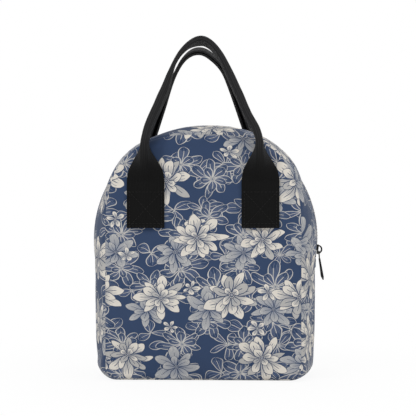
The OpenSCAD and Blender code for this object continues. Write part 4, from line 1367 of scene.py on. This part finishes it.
for end, side, body in (("front", -1, "front_flap"), ("back", 1, "bag")):
    handle = bpy.data.objects[f"{end}_handle_webbing"]
    for x, hand in ((-TAB_X, "left"), (TAB_X, "right")):
        paths = []
        for line in box_paths(x):
            y = np.full(len(line), side * (FACE_Y + 8.0))
            place = snap(handle, np.stack([line[:, 0], y, line[:, 1]], 1))
            paths.append((place, np.tile([0.0, side, 0.0], (len(line), 1))))
        sew(f"{end}_{hand}_box_seam", paths, THREAD, body)

for shape in (STITCH, TOOTH):
    bpy.data.objects.remove(shape)

# ---- camera and light ----------------------------------------------------------------
AIM = (5.0, -65.0, 173.0)
CAMERA_DISTANCE, CAMERA_AZIMUTH, LENS, SENSOR = 1300.0, math.radians(2.2), 112.5, 36.0
# Lamps in metres: name, place, width and power; all point at the bag's middle
LAMPS = (("key", (-0.9, -1.6, 1.7), 1.4, 18), ("fill", (1.5, -1.2, 0.9), 1.6, 8),
         ("top", (0.0, 0.5, 2.0), 1.6, 12))
LAMP_AIM = (0, 0, 0.15)
WHITE, WORLD_LIGHT = (1, 1, 1, 1), 0.5
# The floor is a little under white beside the bag, and white from the second radius, in metres
FLOOR_HALF, FLOOR_Z, NEAR_FLOOR, SHADOW_RADII = 4000, -0.6, 0.91, (0.12, 0.42)


def add_camera():
    """The camera in front, a little to the right, level with the bag's upper part."""
    data = bpy.data.cameras.new("camera")
    data.lens, data.sensor_width = LENS, SENSOR
    camera = link_object("camera", data)
    camera.location = ((AIM[0] + CAMERA_DISTANCE * math.sin(CAMERA_AZIMUTH)) * MM,
                       (AIM[1] - CAMERA_DISTANCE * math.cos(CAMERA_AZIMUTH)) * MM, AIM[2] * MM)
    camera.rotation_euler = (math.pi / 2, 0, CAMERA_AZIMUTH)
    bpy.context.scene.camera = camera


def add_lamps():
    """Three soft square lamps."""
    for name, place, size, power in LAMPS:
        data = bpy.data.lights.new(name, "AREA")
        data.energy, data.size = power, size
        lamp = link_object(name, data)
        lamp.location = place
        x, y, z = np.array(LAMP_AIM) - np.array(place)
        lamp.rotation_euler = (math.atan2(math.hypot(x, y), -z), 0, math.atan2(x, -y) + math.pi)


def backdrop_shows(tree):
    """1 for what the camera sees itself, and 0 for the light that falls on the bag."""
    return add_node(tree, "ShaderNodeLightPath").outputs["Is Camera Ray"]


def add_backdrop():
    """A white studio world and a white floor that keeps the bag's soft shadow."""
    scene = bpy.context.scene
    scene.view_settings.view_transform = "Standard"
    scene.world = bpy.data.worlds.new("studio")
    scene.world.use_nodes = True
    tree = scene.world.node_tree
    lit = tree.nodes["Background"]
    lit.inputs[0].default_value, lit.inputs[1].default_value = WHITE, WORLD_LIGHT
    seen = add_node(tree, "ShaderNodeBackground", (WHITE, 1.0))
    both = add_node(tree, "ShaderNodeMixShader", (backdrop_shows(tree), lit, seen))
    tree.links.new(both.outputs[0], tree.nodes["World Output"].inputs[0])
    material, tree, shader = start_material("white floor", Base_Color=WHITE, Roughness=0.9)
    place = add_node(tree, SPLIT, [add_node(tree, "ShaderNodeTexCoord").outputs["Object"]])
    x, y = place.outputs[:2]
    out = ("SQRT", ("ADD", ("MULTIPLY", x, x), ("MULTIPLY", y, y)))
    far = add_node(tree, "ShaderNodeMapRange",
                   {"Value": out, "From Min": SHADOW_RADII[0], "From Max": SHADOW_RADII[1],
                    "To Min": NEAR_FLOOR}, interpolation_type="SMOOTHSTEP")
    bright = add_node(tree, "ShaderNodeEmission", (WHITE, 1.0))
    both = add_node(tree, "ShaderNodeMixShader",
                    (("MULTIPLY", backdrop_shows(tree), far), shader, bright))
    tree.links.new(both.outputs[0], tree.nodes["Material Output"].inputs[0])
    corners = ((-1, -1), (1, -1), (1, 1), (-1, 1))
    make_object("floor", [(x * FLOOR_HALF, y * FLOOR_HALF, FLOOR_Z)
                                   for x, y in corners], [(0, 1, 2, 3)], None, material)


add_camera()
add_backdrop()
add_lamps()
